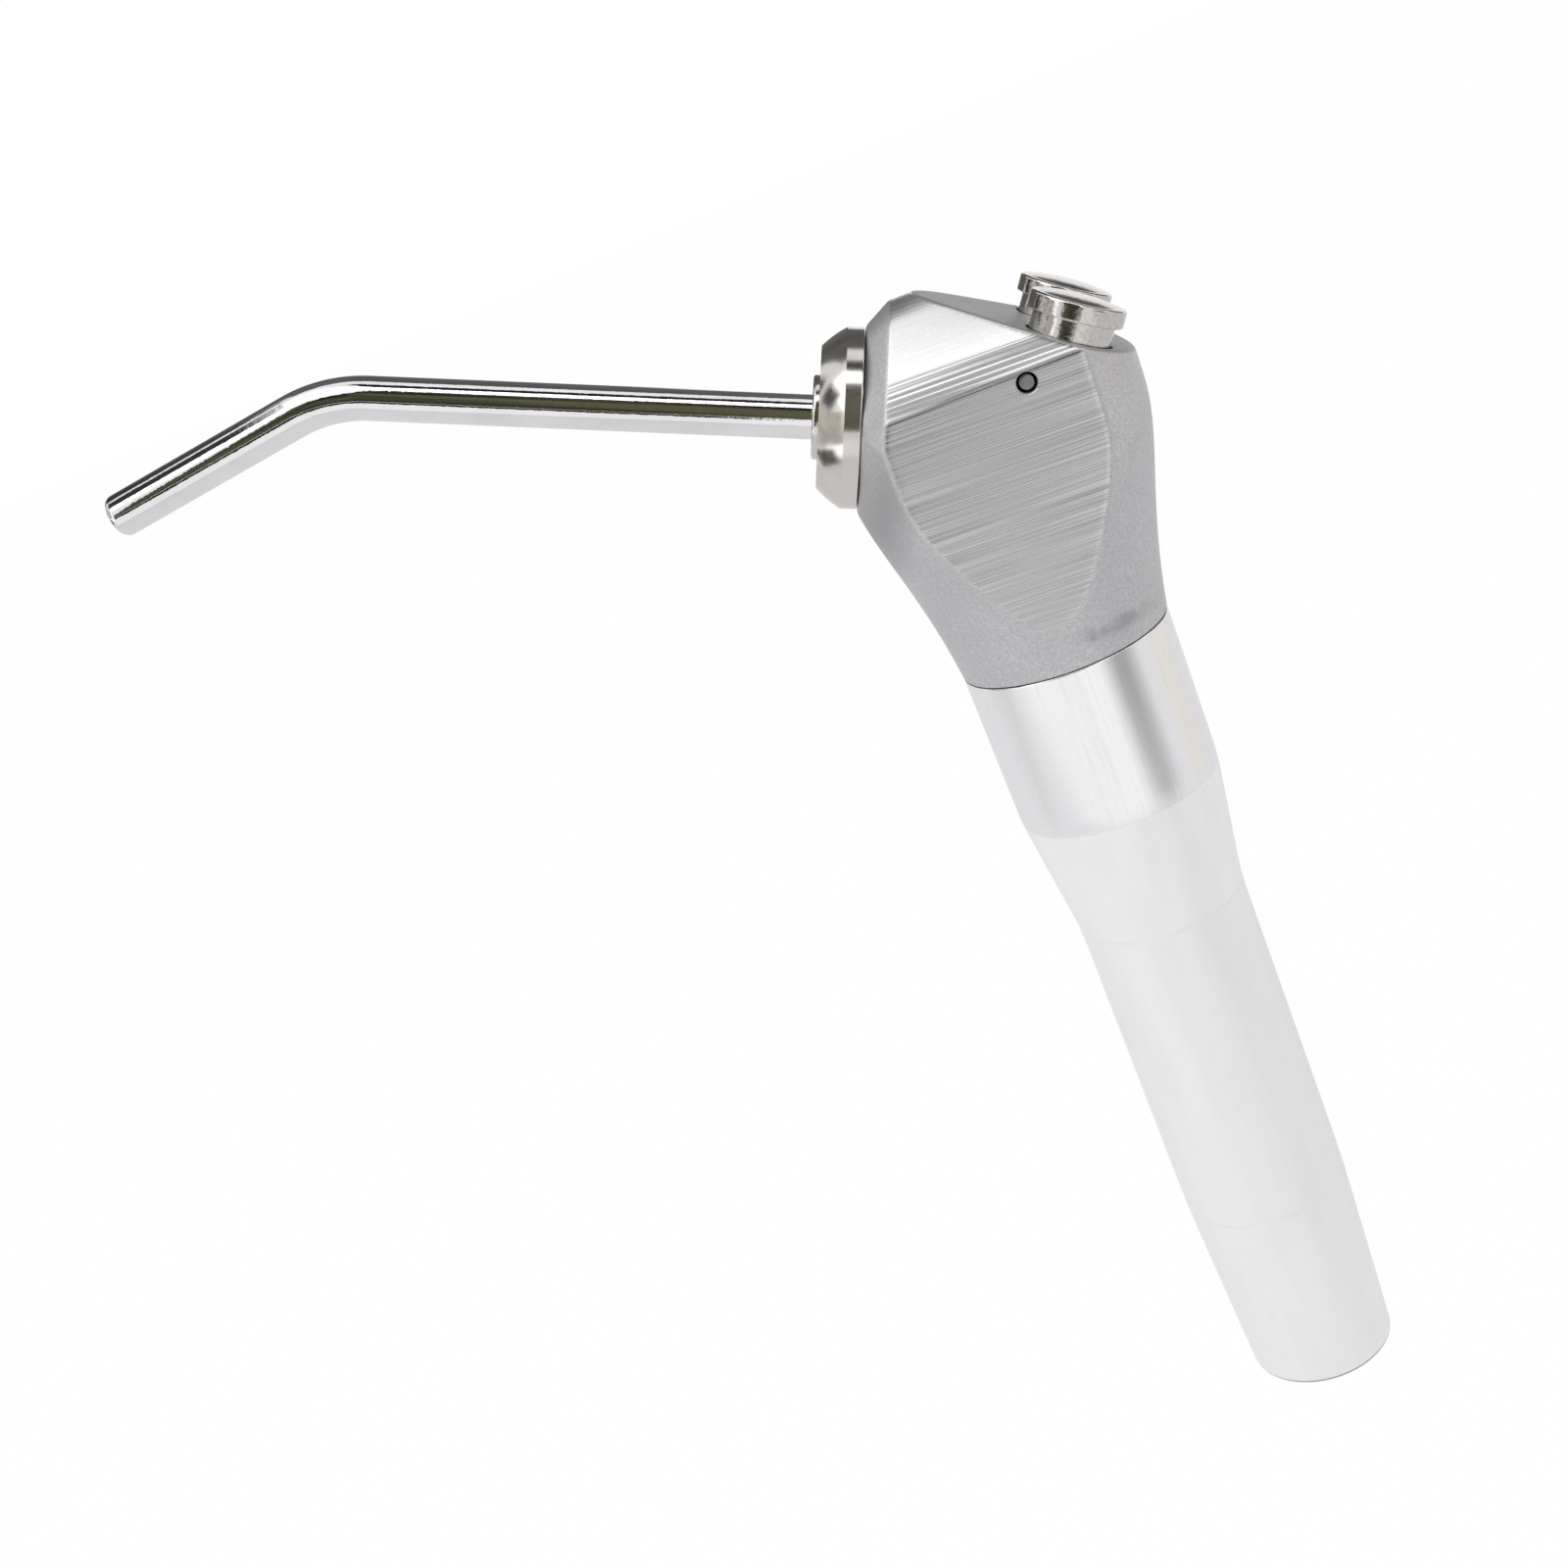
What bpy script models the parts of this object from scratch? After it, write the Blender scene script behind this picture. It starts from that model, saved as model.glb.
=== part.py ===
"""Three-way dental syringe: bent spray nozzle, valve head with two buttons and a hollow handle.

Metres, +Z up. The origin is the centre of the handle's hose end and Z runs up the handle's axis.
The nozzle points to -X, the buttons face up and to +X, and the X-Z plane is the plane of symmetry.
"""

import math

import bmesh
import bpy
from mathutils import Matrix, Vector
from mathutils.geometry import interpolate_bezier

MM = 0.001
WELD = 0.01 * MM
SHARP_ANGLE = math.radians(32.0)
AXIS_MARK = 5.0 * MM

# Clearances
SEAT_GAP = 0.3 * MM
RUN_GAP = 0.25 * MM
PIN_GAP = 0.22 * MM

# Handle sleeve, from the hose end upwards
TAIL_LENGTH = 20.4 * MM
GRIP_LENGTH = 33.0 * MM
TAPER_LENGTH = 12.5 * MM
BAND_LENGTH = 15.3 * MM
TAIL_END_R = 7.2 * MM
GRIP_R = 8.1 * MM
BAND_LOW_R = 9.7 * MM
BAND_TOP_R = 9.85 * MM
HOSE_BORE_R = 5.8 * MM
SOCKET_R = 8.4 * MM
SOCKET_DEPTH = 11.0 * MM
SLEEVE_RIM = 0.4 * MM
TAIL_BLEND = 4.0 * MM
BAND_BLEND = 2.0 * MM

# Valve head, heights above the sleeve's top edge
HEAD_R = 14.0 * MM
FLARE_HEIGHT = 20.5 * MM
FLARE_SLOPE = 0.13
HEAD_LEAN = 0.025
FLAT_HALF_WIDTH = 10.5 * MM
CREASE_HEIGHT = 26.5 * MM
CREST_R = 45.0 * MM
CREST_LEAN = math.radians(37.0)
CREST_FACETS = 4
RIDGE_R = 6.8 * MM
RIDGE_FACETS = 3
SLANT_TILT = math.radians(35.0)
SLANT_OFFSET = 27.4 * MM
SPIGOT_LENGTH = 10.5 * MM
SLEEVE_RING_SECTION_R = 0.75 * MM
SLEEVE_RING_DROP = 2.4 * MM

# Nozzle, stations along its own axis from where that crosses the handle's axis
NOZZLE_HEIGHT = 21.5 * MM
NOZZLE_RISE = math.radians(24.0)
NOSE_REACH = 10.95 * MM
NOSE_SHOULDER = 9.05 * MM
NOSE_SLOPE = 0.7
TUBE_R = 2.0 * MM
TUBE_WALL = 0.5 * MM
WATER_TUBE_R = 0.9 * MM
WATER_TUBE_WALL = 0.35 * MM
BEND_STATION = 58.7 * MM
BEND_ANGLE = math.radians(31.0)
BEND_R = 13.7 * MM
TIP_LENGTH = 23.4 * MM
BEND_STEPS = 8
TIP_ROUNDING = 0.9 * MM
TIP_MOUTH_R = 0.8 * MM
WATER_TUBE_RECESS = 1.5 * MM

# Nozzle nut, collet and seals
NUT_R = 8.0 * MM
NUT_FACE_R = 6.27 * MM
NUT_BAND = 1.25 * MM
NUT_LENGTH = 3.5 * MM
NUT_THREAD_R = 5.2 * MM
NUT_THREAD_LENGTH = 4.3 * MM
NUT_EDGE = 0.3 * MM
COLLET_R = 3.76 * MM
COLLET_BEVEL = 0.4 * MM
COLLET_STANDOUT = 0.6 * MM
COLLET_FLANGE = 0.75 * MM
SEAL_SECTION_R = 0.5 * MM
GLAND_RING_LENGTH = 0.6 * MM
TUBE_TAIL = 1.4 * MM
WATER_SEAL_SECTION_R = 0.35 * MM
WATER_TUBE_TAIL = 0.4 * MM

# Buttons and valves, depths along the button axes from the sloping face
BUTTON_PITCH = 10.9 * MM
BUTTON_X = 9.3 * MM
BUTTON_TRAVEL = 1.5 * MM
BUTTON_STOP = 0.2 * MM
FLANGE_R = 4.2 * MM
FLANGE_THICKNESS = 1.55 * MM
FLANGE_CROWN = 0.35 * MM
FLANGE_EDGE = 0.45 * MM
BUTTON_R = 3.6 * MM
BUTTON_SKIRT = 1.7 * MM
PIN_R = 0.7 * MM
PIN_DEPTH = 3.9 * MM
PIN_OFFSET = 3.05 * MM
SPRING_SPACE = 6.4 * MM
SPRING_R = 2.5 * MM
WIRE_R = 0.28 * MM
SPRING_TURNS = 4.5
SPRING_POINTS = 9
SPUD_R = 0.9 * MM
SPUD_LENGTH = 2.6 * MM
STEM_R = 1.5 * MM
LAND_R = 2.0 * MM
LAND_LENGTH = 2.2 * MM
LAND_SPACING = 3.6 * MM
STEM_SEAL_SECTION_R = 0.4 * MM

# Hose barbs
BARB_OFFSET = 2.95 * MM
BARB_SHANK_R = 1.75 * MM
BARB_SHANK_LENGTH = 5.0 * MM
BARB_FLANGE_R = 2.55 * MM
BARB_FLANGE = 1.4 * MM
BARB_TAIL_R = 1.45 * MM
BARB_RIDGE_R = 1.95 * MM
BARB_RIDGES = 3
BARB_RIDGE_PITCH = 2.4 * MM
BARB_BORE_R = 0.8 * MM
GASKET_THICKNESS = 0.6 * MM

# Positions that follow
SLEEVE_LENGTH = TAIL_LENGTH + GRIP_LENGTH + TAPER_LENGTH + BAND_LENGTH
JOINT = Vector((0.0, 0.0, SLEEVE_LENGTH))
SLANT_NORMAL = Vector((math.sin(SLANT_TILT), 0.0, math.cos(SLANT_TILT)))
DOWN_SLOPE = Vector((math.cos(SLANT_TILT), 0.0, -math.sin(SLANT_TILT)))
BUTTON_HEIGHT = (SLANT_OFFSET - BUTTON_X * SLANT_NORMAL.x) / SLANT_NORMAL.z

CREST_OFFSET = CREST_R * math.cos(CREST_LEAN) - FLAT_HALF_WIDTH
CREST_FLOOR = CREASE_HEIGHT - CREST_R * math.sin(CREST_LEAN)
RIDGE_RISE = math.sqrt((CREST_R - RIDGE_R) ** 2 - CREST_OFFSET ** 2)
RIDGE_LEAN = math.atan2(RIDGE_RISE, CREST_OFFSET)
HEAD_HEIGHT = CREST_FLOOR + RIDGE_RISE + RIDGE_R

NOZZLE_AXIS = Vector((-math.cos(NOZZLE_RISE), 0.0, math.sin(NOZZLE_RISE)))
NOZZLE_CROSSING = Vector((0.0, 0.0, NOZZLE_HEIGHT))
NUT_REAR = NOSE_REACH + SEAT_GAP
NUT_FRONT = NUT_REAR + NUT_LENGTH
COLLET_FRONT = NUT_FRONT + COLLET_STANDOUT
NUT_THREAD_END = NUT_REAR - NUT_THREAD_LENGTH
COLLET_SHOULDER = NUT_THREAD_END - SEAT_GAP
COLLET_REAR = COLLET_SHOULDER - COLLET_FLANGE
FRONT_SEAL = COLLET_REAR - SEAT_GAP - SEAL_SECTION_R
GLAND_FRONT = FRONT_SEAL - SEAL_SECTION_R - SEAT_GAP
GLAND_REAR = GLAND_FRONT - GLAND_RING_LENGTH
REAR_SEAL = GLAND_REAR - SEAT_GAP - SEAL_SECTION_R
GLAND_FLOOR = REAR_SEAL - SEAL_SECTION_R - SEAT_GAP
TUBE_REAR = GLAND_FLOOR - TUBE_TAIL
TUBE_FLOOR = TUBE_REAR - SEAT_GAP
WATER_SEAL = TUBE_FLOOR - SEAT_GAP - WATER_SEAL_SECTION_R
WATER_TUBE_REAR = WATER_SEAL - WATER_SEAL_SECTION_R - WATER_TUBE_TAIL
WATER_FLOOR = WATER_TUBE_REAR - SEAT_GAP

TUBE_HOLE_R = TUBE_R + RUN_GAP
SEAL_R = TUBE_HOLE_R + SEAL_SECTION_R
GLAND_R = SEAL_R + SEAL_SECTION_R + RUN_GAP
THREAD_HOLE_R = NUT_THREAD_R + SEAT_GAP
WATER_SEAL_R = WATER_TUBE_R + RUN_GAP + WATER_SEAL_SECTION_R
WATER_HOLE_R = WATER_SEAL_R + WATER_SEAL_SECTION_R + RUN_GAP

FLANGE_BOTTOM = BUTTON_TRAVEL + BUTTON_STOP
FLANGE_TOP = FLANGE_BOTTOM + FLANGE_THICKNESS
NOTCH_SIDE = PIN_OFFSET - PIN_R - SEAT_GAP
NOTCH_BOTTOM = -PIN_DEPTH - PIN_R - SEAT_GAP
NOTCH_TOP = -PIN_DEPTH + PIN_R + SEAT_GAP + BUTTON_TRAVEL
BUTTON_BOTTOM = NOTCH_BOTTOM - BUTTON_SKIRT
SPRING_FLOOR = BUTTON_BOTTOM - SPRING_SPACE
UPPER_LAND = SPRING_FLOOR - SEAT_GAP - LAND_LENGTH / 2
LOWER_LAND = UPPER_LAND - LAND_SPACING
STEM_END = LOWER_LAND - LAND_LENGTH / 2
VALVE_END = STEM_END - BUTTON_TRAVEL - BUTTON_STOP
VALVE_HOLE_R = LAND_R + SEAT_GAP
STEM_SEAL_R = LAND_R - STEM_SEAL_SECTION_R

SPIGOT_END = SEAT_GAP - SPIGOT_LENGTH


def material(name, colour, metallic, roughness):
    """Return a Principled material of one colour."""
    result = bpy.data.materials.new(name)
    result.use_nodes = True
    shader = result.node_tree.nodes["Principled BSDF"]
    shader.inputs["Base Color"].default_value = (*colour, 1.0)
    shader.inputs["Metallic"].default_value = metallic
    shader.inputs["Roughness"].default_value = roughness
    return result


def frame(name, place, turn):
    """Add an empty at a place, turned about Y, that pieces on one axis hang from."""
    empty = bpy.data.objects.new(name, None)
    empty.empty_display_size = AXIS_MARK
    empty.location = place
    empty.rotation_euler = (0.0, turn, 0.0)
    bpy.context.collection.objects.link(empty)
    return empty


def add(name, bm, skin, parent=None, smooth=True):
    """Turn a bmesh into a named object and hang it from its frame."""
    bmesh.ops.remove_doubles(bm, verts=bm.verts, dist=WELD)
    bmesh.ops.recalc_face_normals(bm, faces=bm.faces)
    mesh = bpy.data.meshes.new(name)
    bm.to_mesh(mesh)
    bm.free()
    if smooth:
        mesh.shade_smooth()
        mesh.set_sharp_from_angle(angle=SHARP_ANGLE)
    if skin:
        mesh.materials.append(skin)
    piece = bpy.data.objects.new(name, mesh)
    piece.parent = parent
    bpy.context.collection.objects.link(piece)
    return piece


def cut(target, name, bm, parent=None):
    """Take a hidden tool's volume from a piece."""
    tool = add(name, bm, None, parent, smooth=False)
    tool.hide_render = True
    tool.display_type = "WIRE"
    step = target.modifiers.new(name, "BOOLEAN")
    step.object = tool
    step.operation = "DIFFERENCE"
    step.solver = "EXACT"
    return tool


def blended(corners, closed, steps=3):
    """Return (r, z) points through corners given as (r, z) or (r, z, blend reach)."""
    points = []
    count = len(corners)
    for index, corner in enumerate(corners):
        here = Vector((corner[0], corner[1], 0.0))
        inner = closed or 0 < index < count - 1
        if len(corner) == 2 or not inner:
            points.append((here.x, here.y))
            continue
        before = Vector((*corners[index - 1][:2], 0.0)) - here
        after = Vector((*corners[(index + 1) % count][:2], 0.0)) - here
        start = before.normalized() * corner[2]
        end = after.normalized() * corner[2]
        bend = interpolate_bezier(here + start, here + start * 0.45, here + end * 0.45, here + end, steps)
        points.extend((point.x, point.y) for point in bend)
    return points


def turned(points, sides, closed):
    """Spin (r, z) points round Z: a closed outline, or one that starts and ends on the axis."""
    bm = bmesh.new()
    verts = [bm.verts.new((r, 0.0, z)) for r, z in points]
    edges = [bm.edges.new(pair) for pair in zip(verts, verts[1:])]
    if closed:
        edges.append(bm.edges.new((verts[-1], verts[0])))
    bmesh.ops.spin(bm, geom=verts + edges, cent=(0.0, 0.0, 0.0), axis=(0.0, 0.0, 1.0),
                   angle=math.tau, steps=sides, use_merge=True)
    bmesh.ops.remove_doubles(bm, verts=bm.verts, dist=WELD)
    bmesh.ops.recalc_face_normals(bm, faces=bm.faces)
    return bm


def ring(major, minor, height, sides=20, section=6):
    """Spin a small circle into an O-ring."""
    turns = [math.tau * index / section for index in range(section)]
    points = [(major + minor * math.cos(turn), height + minor * math.sin(turn)) for turn in turns]
    return turned(points, sides, True)


def collar(inner, outer, low, high, sides=24):
    """Spin a plain rectangular ring."""
    return turned([(inner, low), (outer, low), (outer, high), (inner, high)], sides, True)


def plane_cut(bm, point, normal):
    """Slice off what lies on a plane's outer side and close the cut."""
    geometry = bm.verts[:] + bm.edges[:] + bm.faces[:]
    sliced = bmesh.ops.bisect_plane(bm, geom=geometry, plane_co=point, plane_no=normal, clear_outer=True)
    rim = [item for item in sliced["geom_cut"] if isinstance(item, bmesh.types.BMEdge)]
    bmesh.ops.edgeloop_fill(bm, edges=rim)
    bmesh.ops.recalc_face_normals(bm, faces=bm.faces)


def flare_points():
    """Return the (r, z) curve of the head's flare, from the sleeve's size to the full round."""
    low = Vector((BAND_TOP_R, SEAT_GAP, 0.0))
    high = Vector((HEAD_R, FLARE_HEIGHT, 0.0))
    rise = FLARE_HEIGHT / 2
    first = low + Vector((FLARE_SLOPE * rise, rise, 0.0))
    second = high - Vector((0.0, FLARE_HEIGHT / 4, 0.0))
    return [(point.x, point.y) for point in interpolate_bezier(low, first, second, high, 10)]


def head_blank():
    """Spin the head with its spigot, lean it back and slice its flats."""
    spigot = SOCKET_R - RUN_GAP
    groove = spigot - 2 * SLEEVE_RING_SECTION_R - RUN_GAP
    half = SLEEVE_RING_SECTION_R + SEAT_GAP
    outline = [(0.0, SPIGOT_END), (spigot - SEAT_GAP, SPIGOT_END), (spigot, SPIGOT_END + SEAT_GAP)]
    outline += [(spigot, -SLEEVE_RING_DROP - half), (groove, -SLEEVE_RING_DROP - half)]
    outline += [(groove, -SLEEVE_RING_DROP + half), (spigot, -SLEEVE_RING_DROP + half)]
    top = HEAD_HEIGHT + RIDGE_R
    outline += [(spigot, SEAT_GAP)] + flare_points() + [(HEAD_R, top), (0.0, top)]
    bm = turned(outline, 48, False)
    for vert in bm.verts:
        vert.co.x += HEAD_LEAN * max(vert.co.z, 0.0)
    plane_cut(bm, SLANT_NORMAL * SLANT_OFFSET, SLANT_NORMAL)
    plane_cut(bm, NOZZLE_CROSSING + NOZZLE_AXIS * NOSE_REACH, NOZZLE_AXIS)
    sides = side_planes(-1) + side_planes(1)
    sides.append((Vector((0.0, 0.0, HEAD_HEIGHT)), Vector((0.0, 0.0, 1.0))))
    for point, normal in sides:
        plane_cut(bm, point, normal)
    for point, normal in sides:
        plane_cut(bm, nose_start(point), normal + NOZZLE_AXIS * NOSE_SLOPE)
    bmesh.ops.translate(bm, verts=bm.verts, vec=JOINT)
    return bm


def side_planes(side):
    """Return (point, normal) planes along one side: its flat, the curve above it and half the ridge."""
    planes = [(Vector((0.0, side * FLAT_HALF_WIDTH, 0.0)), Vector((0.0, side, 0.0)))]
    crest = Vector((0.0, -side * CREST_OFFSET, CREST_FLOOR))
    ridge = Vector((0.0, 0.0, CREST_FLOOR + RIDGE_RISE))
    leans = [CREST_LEAN + (RIDGE_LEAN - CREST_LEAN) * index / CREST_FACETS for index in range(CREST_FACETS)]
    arcs = [(crest, CREST_R, lean) for lean in leans]
    leans = [RIDGE_LEAN + (math.pi / 2 - RIDGE_LEAN) * index / RIDGE_FACETS for index in range(RIDGE_FACETS)]
    arcs += [(ridge, RIDGE_R, lean) for lean in leans]
    for centre, radius, lean in arcs:
        normal = Vector((0.0, side * math.cos(lean), math.sin(lean)))
        planes.append((centre + normal * radius, normal))
    return planes


def nose_start(point):
    """Return where the front chamfer of a side plane starts, level with a point of that plane."""
    ahead = (point - NOZZLE_CROSSING).dot(NOZZLE_AXIS)
    return point + Vector(((NOSE_SHOULDER - ahead) / NOZZLE_AXIS.x, 0.0, 0.0))


def nozzle_socket():
    """Spin the stepped hole that takes the nut, the seals and both tubes."""
    clear = NOSE_REACH + NUT_LENGTH
    steps = [(0.0, clear), (THREAD_HOLE_R, clear), (THREAD_HOLE_R, COLLET_REAR - SEAT_GAP)]
    steps += [(GLAND_R, COLLET_REAR - SEAT_GAP), (GLAND_R, GLAND_FLOOR)]
    steps += [(TUBE_HOLE_R, GLAND_FLOOR), (TUBE_HOLE_R, TUBE_FLOOR)]
    steps += [(WATER_HOLE_R, TUBE_FLOOR), (WATER_HOLE_R, WATER_FLOOR), (0.0, WATER_FLOOR)]
    return turned(steps, 32, False)


def valve_bore():
    """Spin the stepped hole of one button and its valve stem."""
    wide = BUTTON_R + RUN_GAP
    steps = [(0.0, HEAD_HEIGHT), (wide, HEAD_HEIGHT), (wide, SPRING_FLOOR)]
    steps += [(VALVE_HOLE_R, SPRING_FLOOR), (VALVE_HOLE_R, VALVE_END), (0.0, VALVE_END)]
    return turned(steps, 32, False)


def rod(radius, length, sides):
    """Make a plain cylinder along Y, centred on the origin."""
    bm = bmesh.new()
    bmesh.ops.create_cone(bm, cap_ends=True, segments=sides, radius1=radius, radius2=radius, depth=length,
                          matrix=Matrix.Rotation(math.pi / 2, 4, "X"))
    return bm


def pin_place():
    """Return the point where the retaining pin crosses the plane of symmetry."""
    mouth = JOINT + Vector((BUTTON_X, 0.0, BUTTON_HEIGHT))
    return mouth - SLANT_NORMAL * PIN_DEPTH - DOWN_SLOPE * PIN_OFFSET


def barb_place(side):
    """Return the centre of one hose barb's seat under the head's spigot."""
    return JOINT + Vector((0.0, side * BARB_OFFSET, SPIGOT_END))


def make_head(skin, nozzle, valves):
    """Build the valve head with all its holes."""
    head = add("head_body", head_blank(), skin)
    cut(head, "nozzle_socket", nozzle_socket(), nozzle)
    for name, valve in valves.items():
        cut(head, name + "_valve_bore", valve_bore(), valve)
    hole = cut(head, "pin_hole", rod(PIN_R + PIN_GAP, 3 * FLAT_HALF_WIDTH, 20))
    hole.location = pin_place()
    for name, side in (("air", 1), ("water", -1)):
        radius = BARB_SHANK_R + RUN_GAP
        depth = BARB_SHANK_LENGTH - GASKET_THICKNESS - SEAT_GAP
        below = -SPIGOT_LENGTH / 2
        hole = turned([(0.0, below), (radius, below), (radius, depth), (0.0, depth)], 20, False)
        cut(head, name + "_barb_socket", hole).location = barb_place(side)


def make_sleeve(skin, rubber):
    """Build the hollow handle and the O-ring of its joint."""
    grip_top = TAIL_LENGTH + GRIP_LENGTH
    band_low = grip_top + TAPER_LENGTH
    floor = SLEEVE_LENGTH - SOCKET_DEPTH
    rim = SLEEVE_RIM
    corners = [(HOSE_BORE_R + rim, 0.0), (TAIL_END_R, 0.0, 1.5 * rim), (GRIP_R, TAIL_LENGTH, TAIL_BLEND)]
    corners += [(GRIP_R, grip_top, BAND_BLEND), (BAND_LOW_R, band_low, BAND_BLEND)]
    corners += [(BAND_TOP_R, SLEEVE_LENGTH, rim / 4), (SOCKET_R + rim, SLEEVE_LENGTH)]
    corners += [(SOCKET_R, SLEEVE_LENGTH - rim), (SOCKET_R, floor), (HOSE_BORE_R, floor), (HOSE_BORE_R, rim)]
    add("handle_sleeve", turned(blended(corners, True), 44, True), skin)
    spigot = SOCKET_R - RUN_GAP
    seal = ring(spigot - SLEEVE_RING_SECTION_R, SLEEVE_RING_SECTION_R, 0.0, 28)
    add("sleeve_o_ring", seal, rubber).location = JOINT - Vector((0.0, 0.0, SLEEVE_RING_DROP))


def make_barb(name, side, brass, nylon):
    """Build one hose barb and the gasket under its flange."""
    flange_top = -GASKET_THICKNESS - 2 * SEAT_GAP
    tail_top = flange_top - BARB_FLANGE
    shank_top = flange_top + BARB_SHANK_LENGTH
    outline = [(BARB_BORE_R, shank_top), (BARB_SHANK_R, shank_top), (BARB_SHANK_R, flange_top)]
    outline += [(BARB_FLANGE_R, flange_top), (BARB_FLANGE_R, tail_top), (BARB_TAIL_R, tail_top)]
    for index in range(BARB_RIDGES):
        top = tail_top - BARB_RIDGE_PITCH * index - BARB_RIDGE_PITCH / 4
        outline += [(BARB_TAIL_R, top), (BARB_RIDGE_R, top), (BARB_TAIL_R, top - 3 * BARB_RIDGE_PITCH / 4)]
    end = outline[-1][1]
    outline += [(BARB_BORE_R, end)]
    add(name + "_hose_barb", turned(outline, 16, True), brass).location = barb_place(side)
    low = -GASKET_THICKNESS - SEAT_GAP
    gasket = collar(BARB_SHANK_R + RUN_GAP, BARB_FLANGE_R, low, -SEAT_GAP, 20)
    add(name + "_barb_gasket", gasket, nylon).location = barb_place(side)


def notch():
    """Make the block that cuts the retaining pin's notch in a button's side."""
    bm = bmesh.new()
    bmesh.ops.create_cube(bm, size=1.0)
    width = 2 * BUTTON_R
    bmesh.ops.scale(bm, verts=bm.verts, vec=(width, 2 * width, NOTCH_TOP - NOTCH_BOTTOM))
    middle = (-NOTCH_SIDE - width / 2, 0.0, (NOTCH_TOP + NOTCH_BOTTOM) / 2)
    bmesh.ops.translate(bm, verts=bm.verts, vec=middle)
    return bm


def make_button(name, valve, chrome):
    """Build one domed push button with its pin notch."""
    hole = SPUD_R + RUN_GAP
    hole_top = BUTTON_BOTTOM + SPUD_LENGTH + SEAT_GAP
    edge = FLANGE_EDGE
    crown = interpolate_bezier(Vector((0.0, FLANGE_TOP + FLANGE_CROWN, 0.0)),
                               Vector((FLANGE_R / 2, FLANGE_TOP + FLANGE_CROWN, 0.0)),
                               Vector((FLANGE_R - 2 * edge, FLANGE_TOP + FLANGE_CROWN / 3, 0.0)),
                               Vector((FLANGE_R - edge, FLANGE_TOP, 0.0)), 5)
    corners = [(FLANGE_R - edge, FLANGE_TOP), (FLANGE_R, FLANGE_TOP, edge / 2)]
    corners += [(FLANGE_R, FLANGE_BOTTOM, edge / 3), (BUTTON_R, FLANGE_BOTTOM), (BUTTON_R, BUTTON_BOTTOM)]
    corners += [(hole, BUTTON_BOTTOM), (hole, hole_top)]
    points = [(point.x, point.y) for point in crown[:-1]] + blended(corners, False) + [(0.0, hole_top)]
    button = add(name + "_button", turned(points, 24, False), chrome, valve)
    cut(button, name + "_pin_notch", notch(), valve)


def make_stem(name, valve, brass, rubber):
    """Build one valve stem and the two O-rings on its lands."""
    spud_top = BUTTON_BOTTOM + SPUD_LENGTH
    shoulder = BUTTON_BOTTOM - SEAT_GAP
    groove_r = STEM_SEAL_R - STEM_SEAL_SECTION_R - RUN_GAP
    half = STEM_SEAL_SECTION_R + RUN_GAP
    outline = [(0.0, spud_top), (SPUD_R, spud_top), (SPUD_R, shoulder), (STEM_R, shoulder)]
    for land in (UPPER_LAND, LOWER_LAND):
        outline += [(STEM_R, land + LAND_LENGTH / 2), (LAND_R, land + LAND_LENGTH / 2)]
        outline += [(LAND_R, land + half), (groove_r, land + half)]
        outline += [(groove_r, land - half), (LAND_R, land - half)]
        outline += [(LAND_R, land - LAND_LENGTH / 2), (STEM_R, land - LAND_LENGTH / 2)]
    outline += [(0.0, STEM_END)]
    add(name + "_valve_stem", turned(outline, 16, False), brass, valve)
    add(name + "_stem_upper_o_ring", ring(STEM_SEAL_R, STEM_SEAL_SECTION_R, UPPER_LAND), rubber, valve)
    add(name + "_stem_lower_o_ring", ring(STEM_SEAL_R, STEM_SEAL_SECTION_R, LOWER_LAND), rubber, valve)


def make_spring(name, valve, steel):
    """Wind one return spring as a single tube between the button and the floor of its bore."""
    low = SPRING_FLOOR + SEAT_GAP + WIRE_R
    high = BUTTON_BOTTOM - SEAT_GAP - WIRE_R
    count = int(SPRING_TURNS * SPRING_POINTS) + 1
    places = []
    for index in range(count):
        share = index / (count - 1)
        turn = math.tau * SPRING_TURNS * share
        place = Vector((SPRING_R * math.cos(turn), SPRING_R * math.sin(turn), low + (high - low) * share))
        places.append(place)
    curve = bpy.data.curves.new(name + "_button_spring", "CURVE")
    curve.dimensions = "3D"
    curve.bevel_depth = WIRE_R
    curve.bevel_resolution = 1
    curve.use_fill_caps = True
    spline = curve.splines.new("POLY")
    spline.points.add(count - 1)
    for point, place in zip(spline.points, places):
        point.co = (*place, 1.0)
    curve.materials.append(steel)
    spring = bpy.data.objects.new(name + "_button_spring", curve)
    spring.parent = valve
    bpy.context.collection.objects.link(spring)
    apart = SPRING_POINTS // 2 + 1
    least = min((places[index] - far).length for index in range(count) for far in places[index + apart:])
    print(name, "spring least gap mm", round((least - 2 * WIRE_R) / MM, 2))


def nozzle_path(rear, recess, rounding):
    """Return (centre, lean) pairs along the nozzle: straight, round the bend and on to the tip."""
    tangent = BEND_R * math.tan(BEND_ANGLE / 2)
    bend_start = BEND_STATION - tangent
    heading = Vector((-math.sin(BEND_ANGLE), 0.0, math.cos(BEND_ANGLE)))
    corner = Vector((0.0, 0.0, BEND_STATION))
    path = [(Vector((0.0, 0.0, rear)), 0.0)]
    for index in range(BEND_STEPS + 1):
        lean = BEND_ANGLE * index / BEND_STEPS
        across = BEND_R * (math.cos(lean) - 1.0)
        path.append((Vector((across, 0.0, bend_start + BEND_R * math.sin(lean))), lean))
    path.append((corner + heading * (TIP_LENGTH - recess - rounding), BEND_ANGLE))
    return path


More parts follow.
